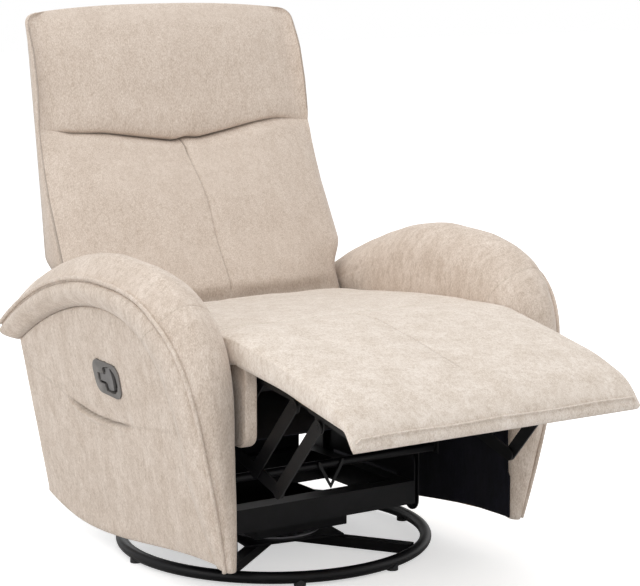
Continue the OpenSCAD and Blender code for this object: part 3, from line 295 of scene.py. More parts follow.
# Materials
class Tree:
    """Short calls that add nodes to a material or world."""

    def __init__(self, owner):
        owner.use_nodes = True
        self.nodes, self.links = owner.node_tree.nodes, owner.node_tree.links

    def set(self, socket, value):
        if isinstance(value, bpy.types.NodeSocket):
            self.links.new(value, socket)
        else:
            socket.default_value = (*value, 1) if isinstance(value, tuple) else value

    def mix(self, factor, a, b, blend="MIX"):
        node = self.nodes.new("ShaderNodeMix")
        node.data_type = "RGBA"
        node.blend_type = blend
        for index, value in ((0, factor), (6, a), (7, b)):
            self.set(node.inputs[index], value)
        return node.outputs[2]

    def maths(self, operation, a, b=0.0):
        node = self.nodes.new("ShaderNodeMath")
        node.operation = operation
        for socket, value in zip(node.inputs, (a, b)):
            self.set(socket, value)
        return node.outputs[0]

    def noise(self, coords, scale, stretch, detail, roughness):
        mapping = self.nodes.new("ShaderNodeMapping")
        mapping.inputs["Scale"].default_value = stretch
        self.links.new(coords, mapping.inputs["Vector"])
        node = self.nodes.new("ShaderNodeTexNoise")
        node.inputs["Scale"].default_value = scale
        node.inputs["Detail"].default_value = detail
        node.inputs["Roughness"].default_value = roughness
        self.links.new(mapping.outputs[0], node.inputs["Vector"])
        return node.outputs["Fac"]

    def ramp(self, value, low, high):
        node = self.nodes.new("ShaderNodeValToRGB")
        node.color_ramp.interpolation = "EASE"
        node.color_ramp.elements[0].position = low
        node.color_ramp.elements[1].position = high
        self.links.new(value, node.inputs[0])
        return node.outputs["Color"]

    def bump(self, height, strength, distance):
        node = self.nodes.new("ShaderNodeBump")
        node.inputs["Strength"].default_value = strength
        node.inputs["Distance"].default_value = distance
        self.links.new(height, node.inputs["Height"])
        return node.outputs[0]


def new_material(name):
    """A material, its tree, the coordinates of its object, and its shader's sockets."""
    material = bpy.data.materials.new(name)
    tree = Tree(material)
    coords = tree.nodes.new("ShaderNodeTexCoord").outputs["Object"]
    return material, tree, coords, tree.nodes["Principled BSDF"].inputs


# How many times a fabric's patterns repeat in a metre, about
CLOUD_SCALE, PATCH_SCALE, FIBRE_SCALE, WEAVE_SCALE = 26, 120, 620, 1400


def fabric(name, base, light, dark, sheen=0.25, rough=0.95, nap=1.0, clouding=1.0):
    """Soft woven cover: faint cloudy patches, short fibres along the nap, and a fine weave. Painted shade
    darkens it at seams, creases and slits, as each mesh's attribute gives.
    """
    material, tree, coords, shader = new_material(name)
    normal = tree.nodes.new("ShaderNodeNewGeometry").outputs["Normal"]
    split = tree.nodes.new("ShaderNodeSeparateXYZ")
    tree.links.new(normal, split.inputs[0])
    level = tree.ramp(tree.maths("ABSOLUTE", split.outputs["Z"]), 0.45, 0.85)
    upright = tree.noise(coords, FIBRE_SCALE, (1, 1, 0.35), 4, 0.75)
    flat = tree.noise(coords, FIBRE_SCALE, (1, 0.35, 1), 4, 0.75)
    fibre = tree.mix(level, upright, flat)
    clouds = tree.noise(coords, CLOUD_SCALE, (1, 1, 0.5), 6, 0.68)
    patches = tree.noise(coords, PATCH_SCALE, (1, 1, 0.4), 4, 0.65)
    pale = tuple(lerp(b, c, clouding) for b, c in zip(base, light))
    colour = tree.mix(tree.ramp(clouds, 0.3, 0.72), base, pale)
    spots = tree.maths("MULTIPLY", tree.ramp(patches, 0.4, 0.75), 0.62 * clouding)
    colour = tree.mix(spots, colour, dark)
    shaded = tree.mix(0.5 * nap, colour, tree.ramp(fibre, 0.3, 0.7), "SOFT_LIGHT")
    # Painted shade, as much as each mesh's attribute gives
    sewn = tree.nodes.new("ShaderNodeAttribute")
    sewn.attribute_name = "seam"
    seam = tuple(0.35 * c for c in dark)
    tree.set(shader["Base Color"], tree.mix(tree.maths("MULTIPLY", sewn.outputs["Fac"], 0.75), shaded, seam))
    shader["Roughness"].default_value = rough
    shader["Sheen Weight"].default_value = sheen
    shader["Sheen Roughness"].default_value = 0.45
    shader["Sheen Tint"].default_value = (1, 0.97, 0.93, 1)
    shader["Specular IOR Level"].default_value = 0.15
    weave = tree.noise(coords, WEAVE_SCALE, (1, 1, 1), 2, 0.5)
    height = tree.maths("ADD", tree.maths("MULTIPLY", fibre, 0.6), tree.maths("MULTIPLY", weave, 0.4))
    tree.set(shader["Normal"], tree.bump(height, 0.4, 0.0006))
    return material


def painted(name, colour, rough, spread, bump_height, metallic=0.0, scale=240, specular=0.5):
    """Powder coat: slight orange peel and uneven gloss."""
    material, tree, coords, shader = new_material(name)
    grain = tree.noise(coords, scale, (1, 1, 1), 3, 0.6)
    patches = tree.noise(coords, 14, (1, 1, 1), 4, 0.6)
    pale = tuple(min(1, 1.9 * c + 0.003) for c in colour)
    tree.set(shader["Base Color"], tree.mix(tree.ramp(patches, 0.4, 0.75), colour, pale))
    gloss = tree.maths("ADD", tree.maths("MULTIPLY", patches, spread), rough - spread / 2)
    tree.set(shader["Roughness"], gloss)
    shader["Metallic"].default_value = metallic
    shader["Specular IOR Level"].default_value = specular
    tree.set(shader["Normal"], tree.bump(grain, 0.4, bump_height))
    return material


def wooden(name):
    """Plywood: grain along the rail, and the plies' stripes."""
    material, tree, coords, shader = new_material(name)
    grain = tree.noise(coords, 45, (1, 0.12, 1), 6, 0.65)
    ply = tree.nodes.new("ShaderNodeTexWave")
    ply.inputs["Scale"].default_value = 95
    ply.inputs["Distortion"].default_value = 1.2
    tree.links.new(coords, ply.inputs["Vector"])
    colour = tree.mix(tree.ramp(grain, 0.35, 0.7), (0.52, 0.36, 0.2), (0.68, 0.5, 0.31))
    stripes = tree.maths("MULTIPLY", ply.outputs["Fac"], 0.18)
    tree.set(shader["Base Color"], tree.mix(stripes, colour, (0.35, 0.22, 0.12)))
    shader["Roughness"].default_value = 0.7
    tree.set(shader["Normal"], tree.bump(grain, 0.35, 0.0006))
    return material


# Fabrics: the ground colour, its pale clouds and its dark patches
BEIGE_DARK = (0.480, 0.388, 0.312)
beige = fabric("beige_cover", (0.595, 0.500, 0.422), (0.715, 0.623, 0.545), BEIGE_DARK)
# The same cover, painted lighter for the seat and the leg rest, where more light falls
beige_top_painted_light = fabric("beige_seat_cover_painted_light", (0.665, 0.582, 0.504), (0.785, 0.708, 0.636), (0.555, 0.466, 0.386))
# The same cover again, for the back: its ground painted a touch lighter for the light there, and its clouds
# fainter
beige_back_painted_light = fabric("beige_back_cover_painted_light", (0.610, 0.516, 0.440), (0.680, 0.586, 0.508), BEIGE_DARK,
                    clouding=0.7)
lining = fabric("lining", (0.006, 0.006, 0.010), (0.012, 0.012, 0.020), (0.003, 0.003, 0.005),
                sheen=0.05, rough=0.8, nap=0.5)
# Paints, metals and plastics: the colour, the roughness and its spread, and the bump's height in metres
black_plywood = painted("near_black_plywood", (0.006, 0.006, 0.007), 0.65, 0.15, 0.0005, scale=90, specular=0.2)
lever_grey = painted("lever_plastic", (0.15, 0.143, 0.14), 0.5, 0.12, 0.0005, scale=700)
node_materials = {
    "black_paint": painted("black_powder_coat", (0.0022, 0.0022, 0.003), 0.42, 0.12, 0.0003, specular=0.22),
    "link_paint": painted("black_link_paint", (0.0035, 0.0035, 0.004), 0.45, 0.16, 0.0003, specular=0.28),
    "dark_steel": painted("rolled_steel", (0.22, 0.22, 0.23), 0.42, 0.2, 0.0003, metallic=1.0, scale=500),
    "spring_wire": painted("spring_wire", (0.3, 0.31, 0.33), 0.35, 0.15, 0.0002, metallic=1.0, scale=600),
    "glide_plastic": painted("glide_plastic", (0.012, 0.012, 0.013), 0.5, 0.1, 0.0004),
    "grey_plastic": painted("bezel_plastic", (0.125, 0.117, 0.11), 0.55, 0.12, 0.0005, scale=700),
    "cable_jacket": painted("cable_jacket", (0.012, 0.012, 0.013), 0.5, 0.1, 0.0003),
    "frame_wood": wooden("plywood"), "beige_fabric": beige, "black_lining": lining}
# The seat's rails get near-black paint in place of plywood
node_look = {"release_lever": lever_grey, "seat_rails": black_plywood, "seat_cross_rails": black_plywood}
slot_of = {entry["node"]: entry["material_slot"] for entry in frame["record"]["subparts"]}
for node, obj in frame["nodes"].items():
    material = node_look.get(node, node_materials[slot_of[node]])
    if not obj.material_slots:
        obj.data.materials.append(material)
    for material_slot in obj.material_slots:
        material_slot.material = material


def finish_soft(obj, material, body, nodes=()):
    obj.data.materials.append(material)
    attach(obj, body)
    if nodes:
        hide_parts(*nodes)
    return obj


# Arms. The roll and the band are sewn across at one step of the outline
ROLL_SEAM, SEAM_WIDTH, PINCH_WIDTH = 11.6, 0.05, 0.45
ARM_STEPS = fine(0, STEPS, 0.2, (ROLL_SEAM,), (0.015, 0.035, 0.07, 0.13))
# The roll's cover runs on down the inner face behind the seat: its place, end and fade
COVER_X, COVER_LOW, COVER_FADE = SIDE - 0.6, 403, (425, 70)
COVER_BULGE, COVER_T = 5, 2.5
# How much painted shade a sewn seam's groove gets
SEAM_PAINTED_SHADE = 0.16
# The roll's rounded rear end: how far its rings lie behind the last step, and their size
REAR_ROUNDING = ((2.5, 0.985), (5, 0.94), (7, 0.82), (8, 0.55))


def build_roll(name, right, nodes):
    """Padded roll over the arch, from the inner face to the piping."""
    t = ARM_STEPS
    py, pz = arch_point(PIPE, t)
    ny, nz = arch_normal(PIPE, t)
    late = clamp01((t - FOOT - ARCH) / REAR)
    early = lerp(FOOT_SHARE, 1, smooth(1.3 * t / (FOOT + ARCH)))
    rise = ARM_RISE * np.where(t <= FOOT + ARCH, early, lerp(1, 0.75, late))
    iy, iz = py - ny * roll_drop(t), pz - nz * roll_drop(t)
    down = smooth((iz - COVER_FADE[0]) / COVER_FADE[1])
    dy, dz = lerp(-ny, 0, down), lerp(-nz, -1, down)
    n = np.hypot(dy, dz)
    dy, dz = dy / n, dz / n
    length = lerp(13, np.maximum(6, iz - COVER_LOW), down)
    wraps = np.concatenate([np.linspace(1, 0.12, 12), [0.05]])
    grid = []
    for w, x in zip(wraps, COVER_X - COVER_BULGE * np.sin(np.pi * wraps) ** 0.7):
        grid.append(np.stack([COVER_X - (COVER_X - x) * down,
                              iy + dy * length * w, iz + dz * length * w], -1))
    share = (1 - np.cos(np.pi * np.linspace(0, 1, 34))) / 2
    ox = piping_x(pz)
    for s in share:
        bulge = rise * (4 * s * (1 - s)) ** lerp(0.56, 1.05, smooth((s - 0.45) / 0.55))
        grid.append(np.stack([lerp(SIDE - 0.4, ox, s) + 0 * iy, lerp(iy, py, s) + ny * bulge,
                              lerp(iz, pz, s) + nz * bulge], -1))
    top = np.stack(grid, 1)
    groove = hump(t - ROLL_SEAM, SEAM_WIDTH)
    pinch = 0.7 * hump(t[:, None] - ROLL_SEAM, PINCH_WIDTH)
    amount = 1.6 * wobble(top, 0.011, 3) - groove[:, None] - pinch
    wrapped = len(wraps)
    edge = np.ones(top.shape[1])
    edge[:wrapped] = 0.25
    edge[wrapped:wrapped + 4] = np.linspace(0.3, 1, 4)
    edge[-2:] = 0.2
    top = top + np.stack([0 * ny, ny, nz], -1)[:, None] * (amount * edge)[..., None]
    under = [top[:, k] + (COVER_T, 0, 0) for k in range(wrapped)]
    under += [np.stack([lerp(SIDE + 2, ox, s), lerp(iy, py, s) - ny * ROLL_BASE,
                        lerp(iz, pz, s) - nz * ROLL_BASE], -1) for s in share]
    under = np.stack(under, 1)
    middle = (top[-1].mean(0) + under[-1].mean(0)) / 2
    top, under = (np.concatenate([part, [middle + (part[-1] - middle) * shrink + (0, shift, 0)
                                         for shift, shrink in REAR_ROUNDING]]) for part in (top, under))
    # Painted shade in the cross seam's groove
    dark = np.concatenate([SEAM_PAINTED_SHADE * groove, np.zeros(len(REAR_ROUNDING))])
    obj = closed_grid(name, mirrored(top, right), mirrored(under, right), spread(dark, top[0, :, 0])[0])
    return finish_soft(obj, beige, "carriage", nodes)


def build_band(name, right, nodes):
    """Bulging band between the piping and the lower seam."""
    t = ARM_STEPS
    py, pz = arch_point(PIPE, t)
    ny, nz = arch_normal(PIPE, t)
    sy, sz = arch_point(SEAM, t)
    v = np.linspace(0, 1, 22)
    pad, pad_low = arm_thickness(pz) * BAND_SHARE, arm_thickness(sz) * BAND_SHARE
    near, deep = ROLL_BASE + 0.3, ROLL_BASE + 0.6 + roll_drop(t) * BAND_SHARE
    outer, inner = [], []
    for s in v:
        bulge = BULGE * np.sin(np.pi * s) ** 0.8 * clamp01(0.15 + t / FOOT)
        outer.append(np.stack([lerp(piping_x(pz), side_x(sz), s) + bulge, lerp(py - ny * near, sy, s),
                               lerp(pz - nz * near, sz, s)], -1))
        inner.append(np.stack([lerp(piping_x(pz) - pad, side_x(sz) - pad_low, s), lerp(py - ny * deep, sy, s),
                               lerp(pz - nz * deep, sz, s)], -1))
    outer, inner = np.stack(outer, 1), np.stack(inner, 1)
    groove = hump(t - ROLL_SEAM, SEAM_WIDTH)
    outer[..., 0] += 1.1 * wobble(outer, 0.014, 5) * np.sin(np.pi * v)[None] - groove[:, None]
    # Painted shade along the band's lower seam and in the cross seam's groove
    edge = np.exp(-((1 - v) * 9) ** 2)[None] * 0.45
    obj = closed_grid(name, mirrored(outer, right), mirrored(inner, right),
                      np.maximum(spread(0.18 * groove, v)[0], edge))
    return finish_soft(obj, beige, "carriage", nodes)


LEVER_AT = (-25, ARM_H - 188)
BEZEL_CORNERS = np.array([(-28.5, -11.4), (23.1, -8.6), (25.9, 12), (-28.5, 10.2)])
BEZEL_CORNER_R = 18.2
POCKET_Y = (-312, -240, -167, -91, -50, -15, 46, 86, 138, 159, 183, 227, 300, 354)
POCKET_Z = (313, 304.5, 295, 284, 278.5, 275.5, 274.5, 277.5, 286.5, 296, 302, 314.5, 329, 342)
SLIT_FRONT, SLIT_REAR = -91, 159
SIDE_TILT = math.atan((side_x(FLARE_Z) - side_x(FOOT_Z)) / (FLARE_Z - FOOT_Z))
PANEL_EDGE, PANEL_CROWN, PANEL_SUNK, PANEL_T = 30, 4.5, 3.5, 12
PIPING_R, PIPING_OUT, PIPING_PROUD = 3.8, 2.2, 0.8
LINING_FRONT, LINING_REAR, LINING_X, LINING_T = -348, 325, SIDE - 1.2, 1.4


def seam_top(y):
    """Height of the lower seam over y."""
    sy, sz = arch_point(SEAM, np.linspace(0, STEPS, 1200))
    order = np.argsort(sy, kind="stable")
    return np.interp(y, sy[order], sz[order])


def pocket_line(y):
    """Height of the pocket's seam, which runs on to both edges of the panel."""
    return sum(np.interp(y + o, POCKET_Y, POCKET_Z) for o in (-18, -9, 0, 9, 18)) / 5


def bezel_reach(y, z):
    """Distance from the bezel's inner outline, less than zero within it."""
    p = np.stack([y - LEVER_AT[0], (z - LEVER_AT[1]) / math.cos(SIDE_TILT)], -1)
    inside = np.full(p.shape[:-1], -1e9)
    near = np.full(p.shape[:-1], 1e9)
    for a, b in zip(BEZEL_CORNERS, np.roll(BEZEL_CORNERS, -1, 0)):
        edge = b - a
        share = np.clip(((p - a) @ edge) / (edge @ edge), 0, 1)
        near = np.minimum(near, np.linalg.norm(p - a - share[..., None] * edge, axis=-1))
        inside = np.maximum(inside, (p - a) @ np.array([edge[1], -edge[0]]) / np.linalg.norm(edge))
    return np.where(inside < 0, inside, near) - BEZEL_CORNER_R


def build_side(name, right, nodes):
    """Flat outer side. The right one has the pocket's slit, and leaves out the lever's bezel."""
    ys = fine(SEAM[0][0] + 0.6, SEAM[3][0] - 0.6, 3.4 if right else 6)
    low = low_edge(ys)
    high = np.maximum(seam_top(ys) - 0.6, low + 2)
    v = np.linspace(0, 1, 130 if right else 60)
    y = spread(ys, v)[0]
    z = lerp(low[:, None], high[:, None], v[None])
    from_ends = np.minimum((ys - ys[0])[:, None] / PANEL_EDGE, (ys[-1] - ys)[:, None] / PANEL_EDGE)
    from_seams = np.minimum((z - low[:, None]) / PANEL_EDGE, (high[:, None] - z) / PANEL_EDGE)
    edge = clamp01(np.minimum(from_ends, from_seams))
    x = side_x(z) - PANEL_SUNK + PANEL_CROWN * round_in(edge)
    x = x + 1.3 * wobble(np.stack([x, y, z], -1), 0.009, 8 if right else 9, 3) * edge
    d = z - pocket_line(y)
    if right:
        # Sewn seam, open between its ends as a slit with a turned lip below it. The seam gets painted shade
        # and the slit a painted shadow
        inside = ((y > SLIT_FRONT) & (y < SLIT_REAR)).astype(float)
        sewn = hump(d, 2.0) * (1 - inside)
        slit = hump(d, 2.6) * inside
        taper = clamp01((SLIT_REAR - y) / 40) * clamp01((y - SLIT_FRONT) / 60)
        lip = hump(d + 6, 5) * inside * taper
        sag = smooth((d + 2) / 8) * hump(d - 4, 22) * inside * np.sqrt(taper)
        x = x - 1.0 * sewn - 9 * slit * np.sqrt(taper) + 3.5 * lip - 5.5 * sag
        dark = np.maximum(SEAM_PAINTED_SHADE * sewn, slit * (0.25 + 0.6 * taper))
    else:
        sewn = hump(d, 2.4)
        x = x - 1.0 * sewn
        # Painted shade in the seam
        dark = SEAM_PAINTED_SHADE * sewn
    outer = np.stack([x, y, z], -1)
    inner = np.stack([side_x(z) - PANEL_T, y, z], -1)
    keep = bezel_reach(y, z) > 0 if right else None
    obj = closed_grid(name, mirrored(outer, right), mirrored(inner, right), dark, keep)
    return finish_soft(obj, beige, "carriage", nodes)


def build_piping(name, right, nodes):
    """Piping along an arm's outline."""
    t = np.linspace(0, STEPS, 200)
    py, pz = arch_point(PIPE, t)
    ny, nz = arch_normal(PIPE, t)
    path = np.stack([piping_x(pz) + PIPING_OUT, py + ny * PIPING_PROUD, pz + nz * PIPING_PROUD], -1)
    return finish_soft(tube(name, mirrored(path, right), PIPING_R, 12), beige, "carriage", nodes)


def build_rear_cover(name, right, nodes):
    """Fabric that closes the rear of an arm."""
    y0, rows = ARM_REAR - 33, 60
    z = np.linspace(float(low_edge(np.array(y0 - 1.0))) + 3, ARM_H - 150, rows)
    s = np.linspace(0, 1, 24)
    x = lerp(SIDE + 1, (side_x(z) - 1)[:, None], s[None])
    zz = spread(z, s)[0]
    upright = np.sin(np.pi * np.linspace(0.02, 0.98, rows))[:, None] ** 0.3
    bulge = 5 * np.sin(np.pi * s)[None] ** 0.6 * upright
    front = np.stack([x, np.full_like(x, y0 - 3), zz], -1)
    back = np.stack([x, y0 + bulge + 1.2 * wobble(front, 0.02, 12 + right), zz], -1)
    obj = closed_grid(name, mirrored(back, right), mirrored(front, right))
    return finish_soft(obj, beige, "carriage", nodes)


def build_lining(name, right, nodes):
    """Black cloth on the arm's inner face, below the cover."""
    ys = np.linspace(LINING_FRONT, LINING_REAR, 130)
    t = np.linspace(0, STEPS, 1500)
    py, pz = arch_point(PIPE, t)
    ny, nz = arch_normal(PIPE, t)
    drop = roll_drop(t) + 4
    ey, ez = py - ny * drop, pz - nz * drop
    order = np.argsort(ey)
    low = low_edge(ys) + 3
    top = np.maximum(np.minimum(COVER_LOW - 1, np.interp(ys, ey[order], ez[order])), low + 1)
    v = np.linspace(0, 1, 50)
    y = spread(ys, v)[0]
    z = lerp(low[:, None], top[:, None], v[None])
    p = np.stack([np.full_like(y, LINING_X), y, z], -1)
    sag = wobble(p * np.array([1, 1, 0.35]), 0.013, 21 + right)
    inner, outer = p.copy(), p.copy()
    inner[..., 0] -= np.clip(1.5 + 2.2 * sag, 0, 4)
    outer[..., 0] += LINING_T
    obj = closed_grid(name, mirrored(inner, right), mirrored(outer, right))
    return finish_soft(obj, lining, "carriage", nodes)


for side_name, is_right in (("right", True), ("left", False)):
    build_roll(f"arm_{side_name}_padded_roll", is_right, (f"arm_roll_{side_name}",))
    build_band(f"arm_{side_name}_padded_band", is_right, (f"arm_band_{side_name}",))
    build_side(f"arm_{side_name}_side_panel", is_right, (f"arm_side_{side_name}",))
    build_piping(f"arm_{side_name}_cord_piping", is_right, (f"arm_piping_{side_name}",))
    build_rear_cover(f"arm_{side_name}_rear_panel", is_right, ("arm_rear_covers",))
    build_lining(f"arm_{side_name}_inner_lining", is_right, ("arm_linings", "arm_inner_covers"))


# Chaise: the seat cushion and the leg rest pad under one cover, as heights over y
PAD_FRONT = -KNEE - PAD_REACH
TOP_LINE = ((PAD_FRONT, -KNEE - 324, -KNEE - 237, -KNEE - 116, -KNEE),
            (SEAT_H - 106, SEAT_H - 79, SEAT_H - 45, SEAT_H - 21, SEAT_H - 2))
LOW_LINE = ((PAD_FRONT + 2, PAD_FRONT + 24, -KNEE - 155, -KNEE - 135, -KNEE),
            (SEAT_H - 129, SEAT_H - 98, SEAT_H - 68, SEAT_H - 65, SEAT_H - SEAT_T - 2))
CROSS_SEAM_Y, EDGE_SHARE = -258, 0.82
NOSE, TAIL, SEAM_W = 34, 30, 1.8


def seat_under(y):
    return SEAT_H - SEAT_T - SEAT_SLOPE * (y + KNEE)


def rounded(line, y, width=26):
    """The line's height, with its corners eased."""
    return sum(np.interp(y + o, *line) for o in np.linspace(-width, width, 9)) / 9


def build_chaise():
    """One cover that bends at the knee, sewn across the seat and from there down the middle."""
    ys = fine(SEAT_REAR, PAD_FRONT, 6, (CROSS_SEAM_Y,))
    xs = np.unique(np.concatenate([HALF * np.sin(np.linspace(-np.pi / 2, np.pi / 2, 96)),
                                   [-3.5, -1.8, -0.8, 0, 0.8, 1.8, 3.5]]))
    y, x = spread(ys, xs)
    u = clamp01((y + KNEE) / (SEAT_REAR + KNEE))
    seat_top = SEAT_H - SEAT_DROP * clamp01((u - 0.12) / 0.88) ** 1.6
    join = smooth((y + KNEE + 25) / 50)
    high = lerp(rounded(TOP_LINE, y), seat_top, join)
    low = lerp(rounded(LOW_LINE, y, 4), seat_under(y), smooth((y + KNEE + 4) / 8))
    f = EDGE_SHARE + (1 - EDGE_SHARE) * (1 - np.minimum(1, np.abs(x) / HALF) ** 8) ** 0.5
    swell = (f - EDGE_SHARE) / (1 - EDGE_SHARE)
    crown = lerp(lerp(PAD_CROWN, 2, join), SEAT_CROWN, u ** 2)
    # Ends roll over
    nose = round_in(clamp01((y - PAD_FRONT) / NOSE))
    tail = round_in(clamp01((SEAT_REAR - y) / TAIL))
    ends = nose * lerp(0.72, 1, tail)
    z = low + (high - low) * f * lerp(0.62, 1, ends) + crown * swell * ends
    flat = np.stack([x, y, z], -1)
    z = z + (2.0 * wobble(flat, 0.008, 31) + 0.7 * wobble(flat * np.array([1, 0.5, 1]), 0.03, 33)) * swell
    from_seam = y - CROSS_SEAM_Y
    across = hump(from_seam, SEAM_W)
    down = hump(x, SEAM_W) * smooth(-from_seam / 10) * smooth((y + 610) / 50)
    puckers = 0.5 * np.sin(y * 0.42 + 1.3 * np.sin(y * 0.09)) * hump(x, 12) * smooth((-264 - y) / 30)
    puckers = puckers * smooth((y + 600) / 40)
    pillow = 2.4 * (1 - hump(from_seam, 34)) + 1.6 * (1 - hump(x, 30)) * smooth((-250 - y) / 60)
    z = z - (1.6 * across + 1.7 * down) * swell + puckers * swell + (pillow - 3.0) * swell
    tuck = np.exp(-((np.abs(x) - HALF + 5) / 4) ** 2 - ((y - y.min() - 6) / 9) ** 2)
    z = z - 2.5 * tuck
    # Sides pull in a little between the corners
    waist = (1.5 * hump(y + 470, 90) - 1.5) * np.sign(x) * clamp01(np.abs(x) / HALF) ** 6
    top = np.stack([x - waist, y, z], -1)
    under = np.stack([x - waist, y, low], -1)
    layers = []
    for share in (0.2, 0.45, 0.7, 0.9):
        layer = under + (top - under) * share
        push = 2.6 * math.sin(math.pi * share)
        layer[:, 0, 0] -= push
        layer[:, -1, 0] += push
        layer[-1, :, 1] -= 4.0 * math.sin(math.pi * min(1, share * 1.1))
        layer[0, :, 1] += 2.0
        layers.append(layer)
    plain = np.zeros(len(rim(*x.shape)))
    # Painted shade along the cross seam and the centre seam
    shades = [np.zeros(x.size), 0.2 * across * swell + 0.3 * down * swell] + [plain] * len(layers)
    obj = cushion("chaise_cushion", under, top, layers, shades, flip=True)
    # The seat's copy of the cover, painted lighter
    obj.data.materials.append(beige_top_painted_light)
    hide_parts("seat_cushion", "legrest_pad")
    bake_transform(obj)


def build_front_welt(name):
    """Welt along the front, a little above the pad's lower edge, turned down at both corners."""
    s = np.concatenate([np.linspace(-1, -0.97, 12), np.linspace(-0.965, 0.965, 80), np.linspace(0.97, 1, 12)])
    turn = clamp01((np.abs(s) - 0.97) / 0.03)
    path = np.stack([s * (HALF - 2), PAD_FRONT - 2.6 + 5 * turn ** 2,
                     SEAT_H - 105 - 9 * turn + 0.8 * np.cos(s * 9)], -1)
    # The welt takes the seat's copy of the cover, painted lighter
    return finish_soft(tube(name, path, 1.5, 8), beige_top_painted_light, "legrest")


build_chaise()
build_front_welt("pad_front_welt")


# Seat box
BOX_FRONT, BOX_REAR, BOX_LOW, BOX_CORNER = -KNEE - 3.5, SEAT_REAR + 40, SEAT_H - SEAT_T - BOX_D - 1.5, 24
BOX_OUTER_X, BOX_INNER_X, BOX_EDGE_X, BOX_EDGE_HALF, BOX_EDGE_T = 276.8, 271.4, 264.2, 11.8, 3


def build_box_panel(name, right):
    """Fabric side of the seat box, with a rounded lower front corner."""
    ys = np.unique(np.concatenate([fine(BOX_FRONT, BOX_REAR, 6),
                                   BOX_FRONT + np.array([1, 2, 4, 7, 10, 14, 19, 25])]))
    low = BOX_LOW + BOX_CORNER * (1 - round_in(clamp01((ys - BOX_FRONT) / BOX_CORNER)))
    high = seat_under(np.maximum(ys, -KNEE)) - 1.0
    v = np.linspace(0, 1, 34)
    y = spread(ys, v)[0]
    z = lerp(low[:, None], high[:, None], v[None])
    curve = 3 * (1 - round_in(clamp01((z - low[:, None]) / 8))) + 2.4 * clamp01(1 - (y - BOX_FRONT) / 6) ** 2
    x = BOX_OUTER_X + 0.7 * wobble(np.stack([0 * y, y, z], -1), 0.02, 41 + right) - curve
    outer, inner = np.stack([x, y, z], -1), np.stack([0 * y + BOX_INNER_X, y, z], -1)
    obj = closed_grid(name, mirrored(outer, right), mirrored(inner, right))
    return finish_soft(obj, beige, "carriage", ("seat_side_panels",))


def build_box_edge(name, right):
    """Fabric turned in over the front of the seat box and on below it."""
    high = float(seat_under(np.array(-KNEE))) - 1.0
    angles = np.linspace(0, np.pi / 2, 16)
    down = np.linspace(high, BOX_LOW + BOX_CORNER, 20)[:-1]
    back = np.linspace(0, 60, 8)[1:]
    py = np.concatenate([0 * down + BOX_FRONT, BOX_FRONT + BOX_CORNER * (1 - np.cos(angles)),
                         BOX_FRONT + BOX_CORNER + back])
    pz = np.concatenate([down, BOX_LOW + BOX_CORNER * (1 - np.sin(angles)), 0 * back + BOX_LOW])
    ny = np.concatenate([0 * down - 1, -np.cos(angles), 0 * back])
    nz = np.concatenate([0 * down, -np.sin(angles), 0 * back - 1])
    s = np.linspace(-1, 1, 11)
    y, x = spread(py, BOX_EDGE_X + BOX_EDGE_HALF * s)
    middle = np.stack([x, y, spread(pz, s)[0]], -1)
    normal = np.stack([0 * x, spread(ny, s)[0], spread(nz, s)[0]], -1)
    proud = 1.6 * np.sqrt(clamp01(1 - s ** 4))[None, :, None]
    outer, inner = middle + normal * proud, middle - normal * BOX_EDGE_T
    obj = closed_grid(name, mirrored(outer, right), mirrored(inner, right))
    return finish_soft(obj, beige, "carriage")


# The cloth behind the seat cushion: two curves of four points each in y and z, its half width and thickness
APRON_CURVES = (((126.5, 396), (176, 403), (238, 386), (241, 346)),
                ((241, 346), (242, 306), (206, 291), (146, 290.8)))
APRON_HALF, APRON_T, APRON_COLUMNS = 222, 1.6, 90


def build_seat_apron(name):
    """Cover cloth from the cushion's rear end over the back of the seat box and down to the dust cloth."""
    t = np.linspace(0, 1, 30)[:, None]
    curves = [(1 - t) ** 3 * a + 3 * (1 - t) ** 2 * t * b + 3 * (1 - t) * t * t * c + t ** 3 * d
              for a, b, c, d in np.array(APRON_CURVES)]
    path = np.concatenate([curves[0], curves[1][1:]])
    along = np.gradient(path, axis=0)
    along /= np.linalg.norm(along, axis=1)[:, None]
    across = np.linspace(-APRON_HALF, APRON_HALF, APRON_COLUMNS)
    y, x = spread(path[:, 0], across)
    z = spread(path[:, 1], across)[0]
    ends = np.sin(np.pi * np.linspace(0, 1, len(path)))[:, None] ** 0.5
    wave = 2.2 * wobble(np.stack([x, 0.35 * y, 0.35 * z], -1), 0.03, 61) * ends
    wave = wave - 2 * ends * (x / APRON_HALF) ** 2
    normal = np.stack([0 * x, spread(-along[:, 1], across)[0], spread(along[:, 0], across)[0]], -1)
    middle = np.stack([x, y, z], -1) + normal * wave[..., None]
    obj = closed_grid(name, middle + normal * APRON_T / 2, middle - normal * APRON_T / 2)
    return finish_soft(obj, beige, "carriage")


for side_name, is_right in (("right", True), ("left", False)):
    build_box_panel(f"seat_box_panel_{side_name}", is_right)
    build_box_edge(f"seat_box_front_edge_{side_name}", is_right)
build_seat_apron("seat_rear_apron")


# Back: its rear plane, its outline from behind, the crease's line across and the side seams' line in y
REAR_Y, REAR_Z, LEAN = 338, ARM_H - 36, 0.2
EDGE_Y, LUMBAR_LEAN, HEAD_LEAN = 356, 0.503, 0.3
WING_Z, WING_H, BACK_ARCH, BACK_LOW, BACK_CORNER = ARM_H - 78, 60, 12, SEAT_H - 52, 26
CREASE_X = (-300, -273, -236, -166, -119, -52, -12, 6, 20, 37, 107, 178, 225, 283, 300)
CREASE_AT = (770, 767, 760, 757, 750, 740, 735, 741, 741, 738, 750, 763, 768, 764, 762)
EDGE_SEAM_Z = (430, 537, 587, 641, 695, 734, 771, 852, 913, 967, 1000)
EDGE_SEAM_Y = (200, 249, 275, 303, 323, 335, 345, 354, 370, 395, 412)
